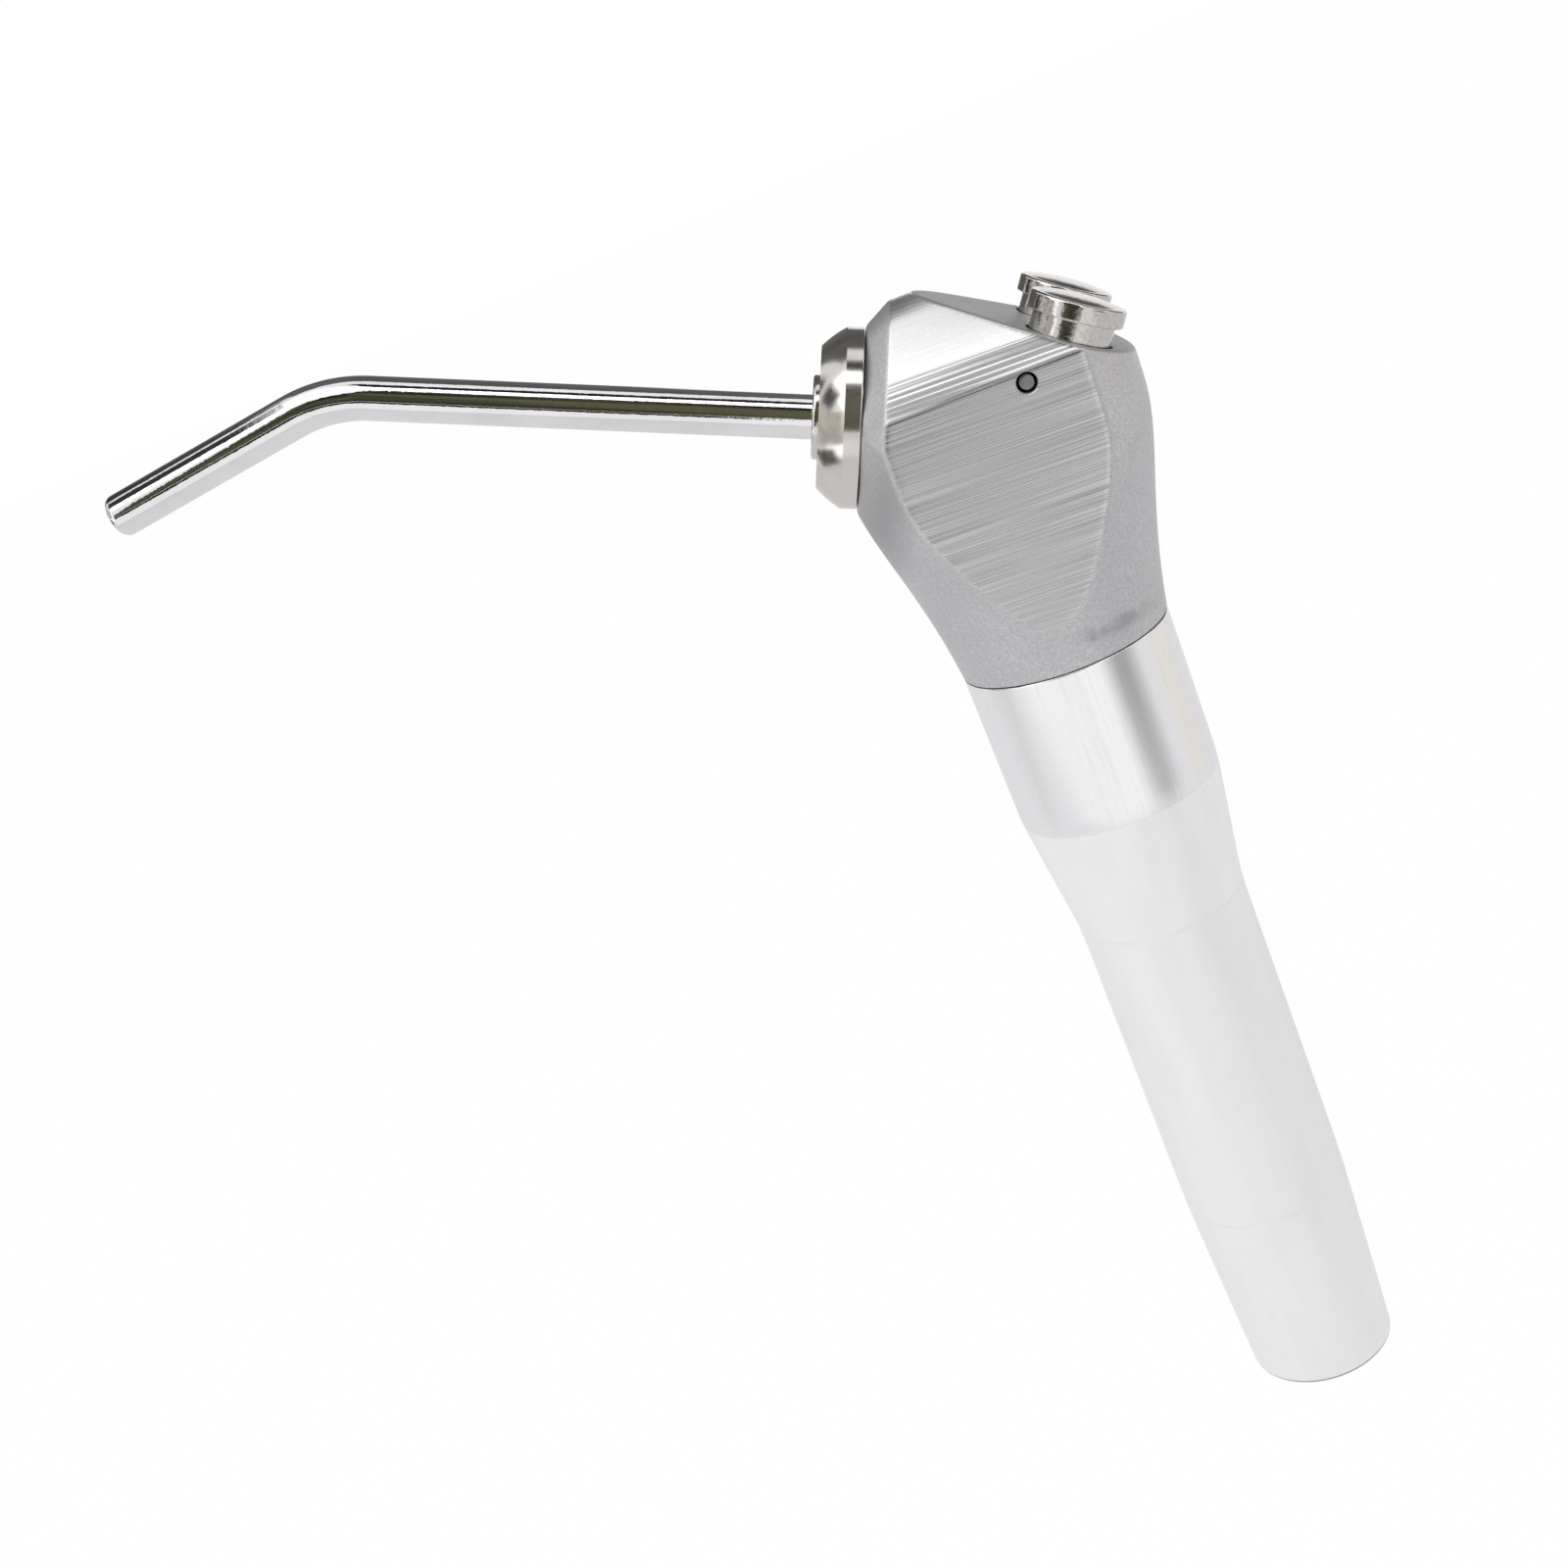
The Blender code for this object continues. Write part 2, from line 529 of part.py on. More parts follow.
def bent_tube(radius, wall, rear, recess, rounding, mouth, sides):
    """Sweep an open tube along the nozzle, with its tip rounded in to a mouth."""
    path = nozzle_path(rear, recess, rounding)
    end, lean = path[-1]
    heading = Vector((-math.sin(lean), 0.0, math.cos(lean)))
    rings = [(centre, turn, radius) for centre, turn in path]
    if rounding:
        for part in (1, 2, 3):
            angle = math.pi * part / 6
            size = radius - rounding * (1.0 - math.cos(angle))
            rings.append((end + heading * rounding * math.sin(angle), lean, size))
        rings.append((end + heading * rounding, lean, mouth))
    rings += [(centre, turn, radius - wall) for centre, turn in reversed(path)]
    bm = bmesh.new()
    loops = []
    for centre, turn, size in rings:
        up = Vector((math.cos(turn), 0.0, math.sin(turn)))
        loop = []
        for index in range(sides):
            angle = math.tau * index / sides
            aside = Vector((0.0, size * math.sin(angle), 0.0))
            loop.append(bm.verts.new(centre + up * size * math.cos(angle) + aside))
        loops.append(loop)
    for first, second in zip(loops, loops[1:] + loops[:1]):
        for index in range(sides):
            after = (index + 1) % sides
            bm.faces.new((first[index], first[after], second[after], second[index]))
    return bm


def make_nozzle(nozzle, chrome, steel, rubber, brass):
    """Build the spray nozzle, its nut and collet, and the seals behind them."""
    spray = bent_tube(TUBE_R, TUBE_WALL, TUBE_REAR, 0.0, TIP_ROUNDING, TIP_MOUTH_R, 20)
    add("nozzle_tube", spray, chrome, nozzle)
    bore = WATER_TUBE_R - WATER_TUBE_WALL
    water = bent_tube(WATER_TUBE_R, WATER_TUBE_WALL, WATER_TUBE_REAR, WATER_TUBE_RECESS, 0.0, bore, 12)
    add("nozzle_water_tube", water, steel, nozzle)
    hole = COLLET_R + RUN_GAP
    edge = NUT_EDGE
    corners = [(hole, NUT_FRONT), (NUT_FACE_R, NUT_FRONT, edge), (NUT_R, NUT_REAR + NUT_BAND, edge)]
    corners += [(NUT_R, NUT_REAR, edge), (NUT_THREAD_R, NUT_REAR), (NUT_THREAD_R, NUT_THREAD_END)]
    corners += [(hole, NUT_THREAD_END)]
    add("nozzle_nut", turned(blended(corners, True), 36, True), chrome, nozzle)
    flange = THREAD_HOLE_R - RUN_GAP
    bevel = COLLET_BEVEL
    corners = [(TUBE_HOLE_R, COLLET_REAR), (flange, COLLET_REAR), (flange, COLLET_SHOULDER)]
    corners += [(COLLET_R, COLLET_SHOULDER), (COLLET_R, COLLET_FRONT - bevel)]
    corners += [(COLLET_R - bevel, COLLET_FRONT), (TUBE_HOLE_R, COLLET_FRONT)]
    add("nozzle_collet", turned(corners, 28, True), chrome, nozzle)
    add("nozzle_front_o_ring", ring(SEAL_R, SEAL_SECTION_R, FRONT_SEAL), rubber, nozzle)
    gland = collar(TUBE_HOLE_R, GLAND_R - RUN_GAP, GLAND_REAR, GLAND_FRONT)
    add("nozzle_gland_ring", gland, brass, nozzle)
    add("nozzle_rear_o_ring", ring(SEAL_R, SEAL_SECTION_R, REAR_SEAL), rubber, nozzle)
    add("water_tube_o_ring", ring(WATER_SEAL_R, WATER_SEAL_SECTION_R, WATER_SEAL, 16), rubber, nozzle)


def make_pin(steel):
    """Build the cross pin that keeps both buttons in."""
    pin = add("retaining_pin", rod(PIN_R, 2 * (FLAT_HALF_WIDTH - SEAT_GAP), 16), steel)
    pin.location = pin_place()


def main():
    """Build every piece of the syringe."""
    for old in list(bpy.data.objects):
        bpy.data.objects.remove(old)
    grey = material("blasted_aluminium", (0.36, 0.36, 0.35), 0.7, 0.55)
    bright = material("bare_aluminium", (0.84, 0.84, 0.85), 1.0, 0.28)
    chrome = material("chrome", (0.72, 0.71, 0.68), 1.0, 0.08)
    steel = material("steel", (0.45, 0.45, 0.46), 1.0, 0.3)
    brass = material("brass", (0.72, 0.55, 0.25), 1.0, 0.3)
    rubber = material("rubber", (0.02, 0.02, 0.02), 0.0, 0.7)
    nylon = material("nylon", (0.78, 0.77, 0.72), 0.0, 0.6)
    nozzle = frame("nozzle_axis", JOINT + Vector((0.0, 0.0, NOZZLE_HEIGHT)), NOZZLE_RISE - math.pi / 2)
    valves = {}
    for name, side in (("air", 1), ("water", -1)):
        place = JOINT + Vector((BUTTON_X, side * BUTTON_PITCH / 2, BUTTON_HEIGHT))
        valves[name] = frame(name + "_button_axis", place, SLANT_TILT)
    make_head(grey, nozzle, valves)
    make_sleeve(bright, rubber)
    make_barb("air", 1, brass, nylon)
    make_barb("water", -1, brass, nylon)
    for name, valve in valves.items():
        make_button(name, valve, chrome)
        make_stem(name, valve, brass, rubber)
        make_spring(name, valve, steel)
    make_pin(steel)
    make_nozzle(nozzle, chrome, steel, rubber, brass)


main()
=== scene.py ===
"""Looks for a three-way dental syringe: a chromed bent nozzle, a blasted valve head and a bright handle.

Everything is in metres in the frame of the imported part: the origin is the centre of the handle's hose
end, +Z runs up the handle, the nozzle points to -X and the buttons face up and to +X. Shapes are worked
out in millimetres and scaled once, when their points go into a mesh.
"""

import math

import bmesh
import bpy
import numpy as np
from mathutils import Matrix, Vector


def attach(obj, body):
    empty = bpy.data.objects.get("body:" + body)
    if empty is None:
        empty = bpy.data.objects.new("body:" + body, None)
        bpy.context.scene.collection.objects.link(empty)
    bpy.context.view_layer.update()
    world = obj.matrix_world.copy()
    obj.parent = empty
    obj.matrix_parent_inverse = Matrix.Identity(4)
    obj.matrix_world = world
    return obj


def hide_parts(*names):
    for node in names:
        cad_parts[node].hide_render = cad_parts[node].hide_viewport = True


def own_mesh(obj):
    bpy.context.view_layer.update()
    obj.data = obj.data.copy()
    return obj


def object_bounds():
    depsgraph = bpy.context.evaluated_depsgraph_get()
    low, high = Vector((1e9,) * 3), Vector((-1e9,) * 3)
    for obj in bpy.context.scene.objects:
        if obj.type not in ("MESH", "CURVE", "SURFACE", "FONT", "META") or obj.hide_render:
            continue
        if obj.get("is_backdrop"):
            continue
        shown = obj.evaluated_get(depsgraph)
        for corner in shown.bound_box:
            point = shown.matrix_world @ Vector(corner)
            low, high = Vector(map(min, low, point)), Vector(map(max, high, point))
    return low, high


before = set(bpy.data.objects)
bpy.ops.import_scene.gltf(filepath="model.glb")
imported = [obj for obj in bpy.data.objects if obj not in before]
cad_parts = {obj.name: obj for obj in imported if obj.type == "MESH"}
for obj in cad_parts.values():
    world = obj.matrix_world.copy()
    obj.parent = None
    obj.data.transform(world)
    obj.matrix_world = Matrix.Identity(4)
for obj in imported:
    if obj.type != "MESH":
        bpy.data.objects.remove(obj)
CAD_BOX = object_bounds()

bl_info = {
    "name": "Three-way syringe",
    "version": (1, 0, 0),
    "blender": (4, 5, 0),
    "location": "3D View > Sidebar > Syringe",
    "description": "Builds the surfaces and finishes of a three-way dental syringe",
    "category": "Object",
}

MM = 0.001
ROOT_BODY = "handpiece"
SIDES = (("air", 1.0), ("water", -1.0))
NOSE_SLOPE = 0.7


def length(name, millimetres, description):
    """Declare a size that is shown in scene units and written here in millimetres."""
    return bpy.props.FloatProperty(name=name, description=description, default=millimetres * MM, unit="LENGTH",
                                   precision=5)


def angle(name, degrees, description):
    """Declare an angle that is written here in degrees."""
    return bpy.props.FloatProperty(name=name, description=description, default=math.radians(degrees),
                                   subtype="ANGLE")


def colour(name, value, description):
    """Declare a linear colour."""
    return bpy.props.FloatVectorProperty(name=name, description=description, default=value, size=3, min=0.0,
                                         max=1.0, subtype="COLOR")


class SyringeSizes(bpy.types.PropertyGroup):
    """Sizes of the pieces that show."""

    tail_length: length("Tail length", 20.4, "Tapered end of the handle, from the hose end up")
    grip_length: length("Grip length", 33.0, "Straight part of the handle")
    taper_length: length("Taper length", 12.5, "Cone between the grip and the wide band")
    band_length: length("Band length", 15.3, "Wide polished band under the head")
    tail_radius: length("Tail radius", 7.2, "Handle's radius at the hose end")
    grip_radius: length("Grip radius", 8.1, "Handle's radius along the grip")
    band_low_radius: length("Band lower radius", 9.7, "Band's radius where the cone ends")
    band_top_radius: length("Band upper radius", 9.85, "Band's radius at the joint with the head")
    hose_bore: length("Hose bore radius", 5.8, "Radius of the handle's bore")
    socket_radius: length("Socket radius", 8.4, "Radius of the hole that takes the head's spigot")
    socket_depth: length("Socket depth", 11.0, "Depth of that hole")
    joint_line: length("Joint line", 0.08, "Fine line left between faces that butt")
    head_radius: length("Head radius", 14.0, "Radius of the head's full round")
    flare_height: length("Flare height", 20.5, "Height at which the flare reaches the full round")
    flat_width: length("Half width", 10.5, "Half the width across the side flats")
    crease_height: length("Crease height", 26.5, "Height at which the side flats start to curve in")
    crest_radius: length("Crest radius", 45.0, "Radius of the curved sides above the crease")
    ridge_radius: length("Ridge radius", 6.8, "Radius of the ridge in which the curved sides meet")
    slant_offset: length("Slant offset", 27.4, "Distance of the button face from the joint's centre")
    nozzle_height: length("Nozzle height", 21.5, "Where the nozzle's axis crosses the handle's, above the joint")
    nose_reach: length("Nose reach", 10.95, "From that crossing to the front face")
    nose_shoulder: length("Nose shoulder", 9.05, "From that crossing to the start of the front chamfer")
    tube_radius: length("Tube radius", 2.0, "Outer radius of the nozzle")
    tube_wall: length("Tube wall", 0.5, "Wall of the nozzle")
    bend_station: length("Bend station", 58.7, "From the crossing to the corner of the bend")
    bend_radius: length("Bend radius", 13.7, "Radius of the nozzle's bend")
    tip_length: length("Tip length", 23.4, "From the corner of the bend to the tip")
    tip_rounding: length("Tip rounding", 0.9, "Radius of the tip's rounded edge")
    mouth_radius: length("Mouth radius", 0.8, "Radius of the opening in the tip")
    nut_radius: length("Nut radius", 8.0, "Radius of the nut's band")
    nut_face_radius: length("Nut face radius", 6.27, "Radius of the nut's front face")
    collet_radius: length("Collet radius", 3.76, "Radius of the collet that stands out of the nut")
    button_pitch: length("Button pitch", 10.9, "Distance between the buttons' axes")
    button_x: length("Button place", 9.3, "Where a button's axis meets the sloping face")
    flange_radius: length("Flange radius", 4.2, "Radius of a button's flange")
    button_radius: length("Button radius", 3.6, "Radius of a button's body")
    pin_radius: length("Pin radius", 0.7, "Radius of the retaining pin")
    pin_gap: length("Pin gap", 0.22, "Gap round the retaining pin")
    nozzle_rise: angle("Nozzle rise", 24.0, "Nozzle's angle above the level")
    slant_tilt: angle("Slant tilt", 35.0, "Tilt of the button face and the buttons")
    crest_lean: angle("Crest lean", 37.0, "Inward lean of the curved sides at the crease")
    bend_angle: angle("Bend angle", 31.0, "Angle of the nozzle's bend")


class SyringeColours(bpy.types.PropertyGroup):
    """Colours of the finishes."""

    blasted: colour("Blasted head", (0.65, 0.65, 0.665), "Bead-blasted aluminium of the head")
    milled: colour("Milled flats", (0.60, 0.60, 0.605), "Milled aluminium of the side flats")
    handle: colour("Handle", (0.97, 0.97, 0.975), "Bare aluminium of the handle")
    chrome: colour("Chrome", (0.80, 0.80, 0.80), "Plate on the nozzle")
    nickel: colour("Nickel", (0.67, 0.64, 0.61), "Plate on the nut and the buttons")
    steel: colour("Steel", (0.30, 0.29, 0.28), "Retaining pin and springs")
    brass: colour("Brass", (0.74, 0.56, 0.26), "Barbs, stems and gland ring")
    rubber: colour("Rubber", (0.016, 0.016, 0.017), "O-rings")
    nylon: colour("Nylon", (0.78, 0.77, 0.72), "Gaskets of the barbs")
    floor: colour("Floor", (0.86, 0.86, 0.86), "Pale studio floor")


def sizes():
    """Return the scene's sizes."""
    return bpy.context.scene.syringe_sizes


def colours():
    """Return the scene's colours."""
    return bpy.context.scene.syringe_colours


def mm(name):
    """Return one of the scene's sizes in millimetres."""
    return getattr(sizes(), name) / MM


def joint_height():
    """Return the height of the handle's top edge in millimetres."""
    return mm("tail_length") + mm("grip_length") + mm("taper_length") + mm("band_length")


class Axis:
    """A right-handed frame in millimetres, with its third direction along a piece's axis."""

    def __init__(self, origin, turn):
        """Turn the row's axes about Y by an angle and put them at an origin."""
        self.origin = np.array(origin, dtype=float)
        self.first = np.array((math.cos(turn), 0.0, -math.sin(turn)))
        self.second = np.array((0.0, 1.0, 0.0))
        self.along = np.array((math.sin(turn), 0.0, math.cos(turn)))

    def place(self, first, second, along):
        """Return points whose coordinates in this frame are given as arrays."""
        steps = (first[..., None] * self.first, second[..., None] * self.second, along[..., None] * self.along)
        return self.origin + sum(steps)


def handle_axis():
    """Return the frame of the handle, with its origin at the hose end."""
    return Axis((0.0, 0.0, 0.0), 0.0)


def nozzle_axis():
    """Return the frame of the nozzle: along its tube, its first direction up and square to it."""
    return Axis((0.0, 0.0, joint_height() + mm("nozzle_height")), sizes().nozzle_rise - math.pi / 2)


def button_axis(side):
    """Return the frame of one button: its axis leaves the sloping face at right angles."""
    tilt = sizes().slant_tilt
    height = (mm("slant_offset") - mm("button_x") * math.sin(tilt)) / math.cos(tilt)
    return Axis((mm("button_x"), side * mm("button_pitch") / 2, joint_height() + height), tilt)


def soft_profile(corners, closed=False, steps=9):
    """Return an outline through (r, z, reach) corners.

    A corner with a reach is a quadratic curve, corner + back (1 - t)^2 + on t^2, whose ends lie that far
    along both sides. One more point a little further out keeps the shading of the straight sides flat.
    """
    count = len(corners)
    pieces = []
    for index, (radius, height, reach) in enumerate(corners):
        here = np.array((radius, height), dtype=float)
        if reach <= 0.0 or (not closed and index in (0, count - 1)):
            pieces.append(here[None])
            continue
        back = np.array(corners[index - 1][:2]) - here
        on = np.array(corners[(index + 1) % count][:2]) - here
        back = back / np.linalg.norm(back) * reach
        on = on / np.linalg.norm(on) * reach
        share = np.linspace(0.0, 1.0, steps)[:, None]
        curve = here + back * (1.0 - share) ** 2 + on * share ** 2
        pieces.append(np.vstack((here + back * 1.15, curve, here + on * 1.15)))
    return np.vstack(pieces)


def revolved(outline, axis, sides=128):
    """Return the grid of an outline turned round an axis: (r cos t, r sin t, z)."""
    turn = np.linspace(0.0, math.tau, sides, endpoint=False)[None, :]
    radius = outline[:, 0][:, None]
    height = np.broadcast_to(outline[:, 1][:, None], (len(outline), sides))
    return axis.place(radius * np.cos(turn), radius * np.sin(turn), height)


def quads(shape, wrap_rows):
    """Return the corner numbers of the quads of a grid whose columns close on themselves."""
    index = np.arange(shape[0] * shape[1]).reshape(shape[:2])
    low = index if wrap_rows else index[:-1]
    high = np.roll(index, -1, axis=0) if wrap_rows else index[1:]
    corners = (low, np.roll(low, -1, axis=1), np.roll(high, -1, axis=1), high)
    return np.stack(corners, axis=-1).reshape(-1, 4)


def mesh_of(name, grids, edge=34.0):
    """Join grids of points in millimetres, each with its wrap, into one closed mesh facing out.

    Where two faces meet at more than the edge angle, in degrees, the edge is shaded sharp.
    """
    points = np.vstack([grid.reshape(-1, 3) for grid, wrap in grids]) * MM
    starts = np.cumsum([0] + [grid.shape[0] * grid.shape[1] for grid, wrap in grids])
    faces = np.vstack([quads(grid.shape, wrap) + start for (grid, wrap), start in zip(grids, starts)])
    mesh = bpy.data.meshes.new(name)
    mesh.vertices.add(len(points))
    mesh.vertices.foreach_set("co", points.ravel())
    mesh.loops.add(faces.size)
    mesh.loops.foreach_set("vertex_index", faces.ravel())
    mesh.polygons.add(len(faces))
    mesh.polygons.foreach_set("loop_start", np.arange(len(faces)) * 4)
    mesh.update(calc_edges=True)
    close(mesh, edge)
    return mesh


def close(mesh, edge):
    """Weld a mesh's seams and poles, turn its faces outwards and shade it smooth."""
    bm = bmesh.new()
    bm.from_mesh(mesh)
    bmesh.ops.remove_doubles(bm, verts=bm.verts, dist=0.0002 * MM)
    bmesh.ops.dissolve_degenerate(bm, edges=bm.edges, dist=0.0001 * MM)
    bmesh.ops.recalc_face_normals(bm, faces=bm.faces)
    bm.to_mesh(mesh)
    bm.free()
    mesh.shade_smooth()
    mesh.set_sharp_from_angle(angle=math.radians(edge))


def piece(name, mesh, finish, body, slot, *nodes):
    """Add a mesh as a piece that rides a body and stands for CAD nodes."""
    mesh.materials.clear()
    mesh.materials.append(finish)
    item = bpy.data.objects.new(name, mesh)
    bpy.context.collection.objects.link(item)
    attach(item, body)
    if nodes:
        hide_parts(*nodes)
    return item


class Value:
    """A number that changes over a surface. Arithmetic on it adds Math nodes."""

    def __init__(self, nodes, socket):
        """Wrap an output socket of a node tree."""
        self.nodes = nodes
        self.socket = socket

    def __add__(self, other):
        """Return self + other."""
        return self.nodes.math("ADD", self, other)

    def __sub__(self, other):
        """Return self - other."""
        return self.nodes.math("SUBTRACT", self, other)

    def __rsub__(self, other):
        """Return other - self."""
        return self.nodes.math("SUBTRACT", other, self)

    def __mul__(self, other):
        """Return self * other."""
        return self.nodes.math("MULTIPLY", self, other)

    def __truediv__(self, other):
        """Return self / other."""
        return self.nodes.math("DIVIDE", self, other)

    def __abs__(self):
        """Return the size of self."""
        return self.nodes.math("ABSOLUTE", self)

    __radd__ = __add__
    __rmul__ = __mul__

    def step(self, low, high):
        """Return a soft step from 0 at low to 1 at high."""
        node = self.nodes.add("ShaderNodeMapRange", {"interpolation_type": "SMOOTHSTEP"},
                              {"Value": self, "From Min": low, "From Max": high})
        return Value(self.nodes, node.outputs["Result"])

    def larger(self, other):
        """Return the larger of self and other."""
        return self.nodes.math("MAXIMUM", self, other)

    def smaller(self, other):
        """Return the smaller of self and other."""
        return self.nodes.math("MINIMUM", self, other)


class Nodes:
    """A shader node tree that is written as expressions."""

    def __init__(self, tree):
        """Empty a tree and keep it."""
        self.tree = tree
        tree.nodes.clear()

    def add(self, kind, settings=None, inputs=None):
        """Add a node, set its settings, then give its sockets values or links."""
        node = self.tree.nodes.new(kind)
        for key, value in (settings or {}).items():
            if key == "stops":
                self.fill_ramp(node.color_ramp, value)
            else:
                setattr(node, key, value)
        for key, value in (inputs or {}).items():
            self.feed(node.inputs[key], value)
        return node

    def feed(self, socket, value):
        """Link a socket to a value or another socket, or set its own value."""
        if isinstance(value, Value):
            self.tree.links.new(value.socket, socket)
        elif isinstance(value, bpy.types.NodeSocket):
            self.tree.links.new(value, socket)
        else:
            socket.default_value = value

    def fill_ramp(self, ramp, stops):
        """Give a colour ramp its (place, colour) stops."""
        while len(ramp.elements) < len(stops):
            ramp.elements.new(1.0)
        for element, (place, shade) in zip(ramp.elements, stops):
            element.position = place
            element.color = (*shade, 1.0)

    def math(self, operation, *values):
        """Add a Math node."""
        node = self.add("ShaderNodeMath", {"operation": operation}, dict(enumerate(values)))
        return Value(self, node.outputs[0])

    def mix(self, share, first, second):
        """Mix two colours."""
        first, second = ((*item, 1.0) if isinstance(item, tuple) else item for item in (first, second))
        node = self.add("ShaderNodeMix", {"data_type": "RGBA"}, {"Factor": share})
        self.feed(node.inputs[6], first)
        self.feed(node.inputs[7], second)
        return node.outputs[2]

    def scaled(self, vector, scale):
        """Scale a vector by three numbers."""
        node = self.add("ShaderNodeVectorMath", {"operation": "MULTIPLY"}, {0: vector, 1: scale})
        return node.outputs[0]

    def noise(self, vector, scale, detail=2.0, roughness=0.5):
        """Return noise between 0 and 1 on a vector."""
        node = self.add("ShaderNodeTexNoise", None, {"Vector": vector, "Scale": scale, "Detail": detail,
                                                     "Roughness": roughness})
        return Value(self, node.outputs["Fac"])

    def shown(self):
        """Return 1 for what the camera sees, also by reflection or through glass, and 0 for other light."""
        path = self.add("ShaderNodeLightPath")
        rays = [Value(self, path.outputs["Is " + kind + " Ray"]) for kind in ("Camera", "Glossy", "Transmission")]
        return rays[0].larger(rays[1]).larger(rays[2])


class Finish(Nodes):
    """A material written as expressions of its Object coordinates in millimetres."""

    def __init__(self, name):
        """Make the material and its coordinates."""
        self.material = bpy.data.materials.new(name)
        self.material.use_nodes = True
        super().__init__(self.material.node_tree)
        coordinates = self.add("ShaderNodeTexCoord").outputs["Object"]
        self.place = self.scaled(coordinates, (1.0 / MM,) * 3)
        parts = self.add("ShaderNodeSeparateXYZ", None, {0: self.place})
        self.x, self.y, self.z = (Value(self, parts.outputs[index]) for index in range(3))

    def join(self, x, y, z):
        """Return a vector with three parts."""
        return self.add("ShaderNodeCombineXYZ", None, {0: x, 1: y, 2: z}).outputs[0]

    def shader(self, base, rough, metallic=1.0, relief=None, streak=0.0):
        """Add a Principled shader. A relief is (height, strength, depth in millimetres)."""
        inputs = {"Base Color": base, "Roughness": rough, "Metallic": metallic, "Anisotropic": streak,
                  "Anisotropic Rotation": 0.25}
        if relief:
            height, strength, depth = relief
            bump = self.add("ShaderNodeBump", None, {"Height": height, "Strength": strength, "Distance": depth * MM})
            inputs["Normal"] = bump.outputs[0]
        return self.add("ShaderNodeBsdfPrincipled", None, inputs).outputs[0]

    def done(self, surface):
        """Send a shader to the output and return the material."""
        self.add("ShaderNodeOutputMaterial", None, {0: surface})
        return self.material


def tint(shade, factor):
    """Return a colour made lighter or darker."""
    return tuple(min(1.0, part * factor) for part in shade)


def head_finish():
    """Blasted aluminium with milled sides: fine grain, and lines along X that are strongest at the crease. It also
    carries painted light: painted shade on the nose under the nut, a painted highlight on the curved sides, and painted
    shade just above the crease and at the top towards -X.
    """
    finish = Finish("blasted_and_milled")
    shades = colours()
    height = finish.z - joint_height()
    milled = milled_sides(finish, height)
    level = height + finish.x * 0.03
    lines = finish.noise(finish.join(finish.x * 0.03, 0.0, level * 4.4), 1.0, 1.0, 0.6)
    fine = finish.noise(finish.join(finish.x * 0.04, 0.0, level * 10.5), 1.0, 1.0, 0.6).step(0.25, 0.75)
    crest = level.step(mm("crease_height") - 0.1, mm("crease_height") + 0.2)
    crease = crest * (1.0 - level.step(mm("crease_height") + 1.6, mm("crease_height") + 3.2))
    top = level.step(mm("crease_height") + 5.0, mm("crease_height") + 7.5) * (1.0 - finish.x.step(-4.0, 1.0))
    strokes_and_painted_light = (lines - 0.5) * (0.08 + crease * 9.0 + top * 1.5) + (fine - 0.5) * (0.75 - crest * 0.25)
    # Painted light in the milled colour: the curved sides above the crease are lifted lighter as a painted highlight,
    # and the band just above the crease and the top towards -X are pushed darker as painted shade.
    strokes_and_painted_light = strokes_and_painted_light + crest * 0.95 - crease * 1.55 - top * 0.55
    grain = finish.noise(finish.place, 4.0, 3.0, 0.8)
    cloud = finish.noise(finish.place, 0.16, 3.0, 0.5)
    plain = finish.mix(cloud.step(0.3, 0.7), tint(shades.blasted, 0.95), tint(shades.blasted, 1.04))
    plain = finish.mix(grain.step(0.3, 0.7), plain, tint(shades.blasted, 0.78))
    plain = finish.mix(smudge_of(finish, height), plain, tint(shades.blasted, 0.42))
    # Painted shade: the nose under the nut is darkened where the nut shades it.
    plain = finish.mix(painted_nose_shade(finish, height), plain, tint(shades.blasted, 0.6))
    blasted = finish.shader(plain, 0.46 + (grain - 0.5) * 0.2, 0.9, (grain, 0.4, 0.04))
    brushed_with_painted_light = finish.mix((strokes_and_painted_light + 0.5).step(-0.2, 1.2), tint(shades.milled, 0.5), tint(shades.milled, 1.4))
    lined_with_painted_light = finish.shader(brushed_with_painted_light, 0.3 + (fine - 0.5) * 0.15, 0.95, (strokes_and_painted_light, 0.15, 0.03), 0.7)
    mixed = finish.add("ShaderNodeMixShader", None, {0: milled, 1: blasted, 2: lined_with_painted_light})
    return finish.done(mixed.outputs[0])


def milled_sides(finish, height):
    """Return 1 on the head's flats, curved sides and ridge, and 0 elsewhere."""
    side = abs(finish.y)
    flat = side.step(mm("flat_width") - 0.04, mm("flat_width") - 0.015)
    middle, level = crest_centre()
    top = ridge_level()
    reach = mm("crest_radius")
    across, above = side - middle, height - level
    crest = (across * across + above * above).step((reach - 0.04) ** 2, (reach - 0.015) ** 2)
    reach = mm("ridge_radius")
    above = height - top
    ridge = (side * side + above * above).step((reach - 0.04) ** 2, (reach - 0.015) ** 2)
    ridge = ridge * (above * -middle - side * (top - level)).step(-0.1, 0.1)
    return flat.larger(crest).larger(ridge)


def smudge_of(finish, height):
    """Return a faint uneven stain that runs along the head's lower edge."""
    patch = finish.noise(finish.scaled(finish.place, (1.0, 1.0, 0.6)), 0.45, 2.0, 0.5).step(0.25, 0.75)
    wave = finish.noise(finish.place, 0.4, 2.0, 0.5)
    low = 1.0 - abs(height - 2.2 - wave * 1.6 + finish.x * 0.1).step(0.1, 1.0)
    along = 1.0 - abs(finish.x - 5.0).step(2.6, 4.4)
    return patch * low * along * finish.y.step(-2.0, -4.0) * 0.7


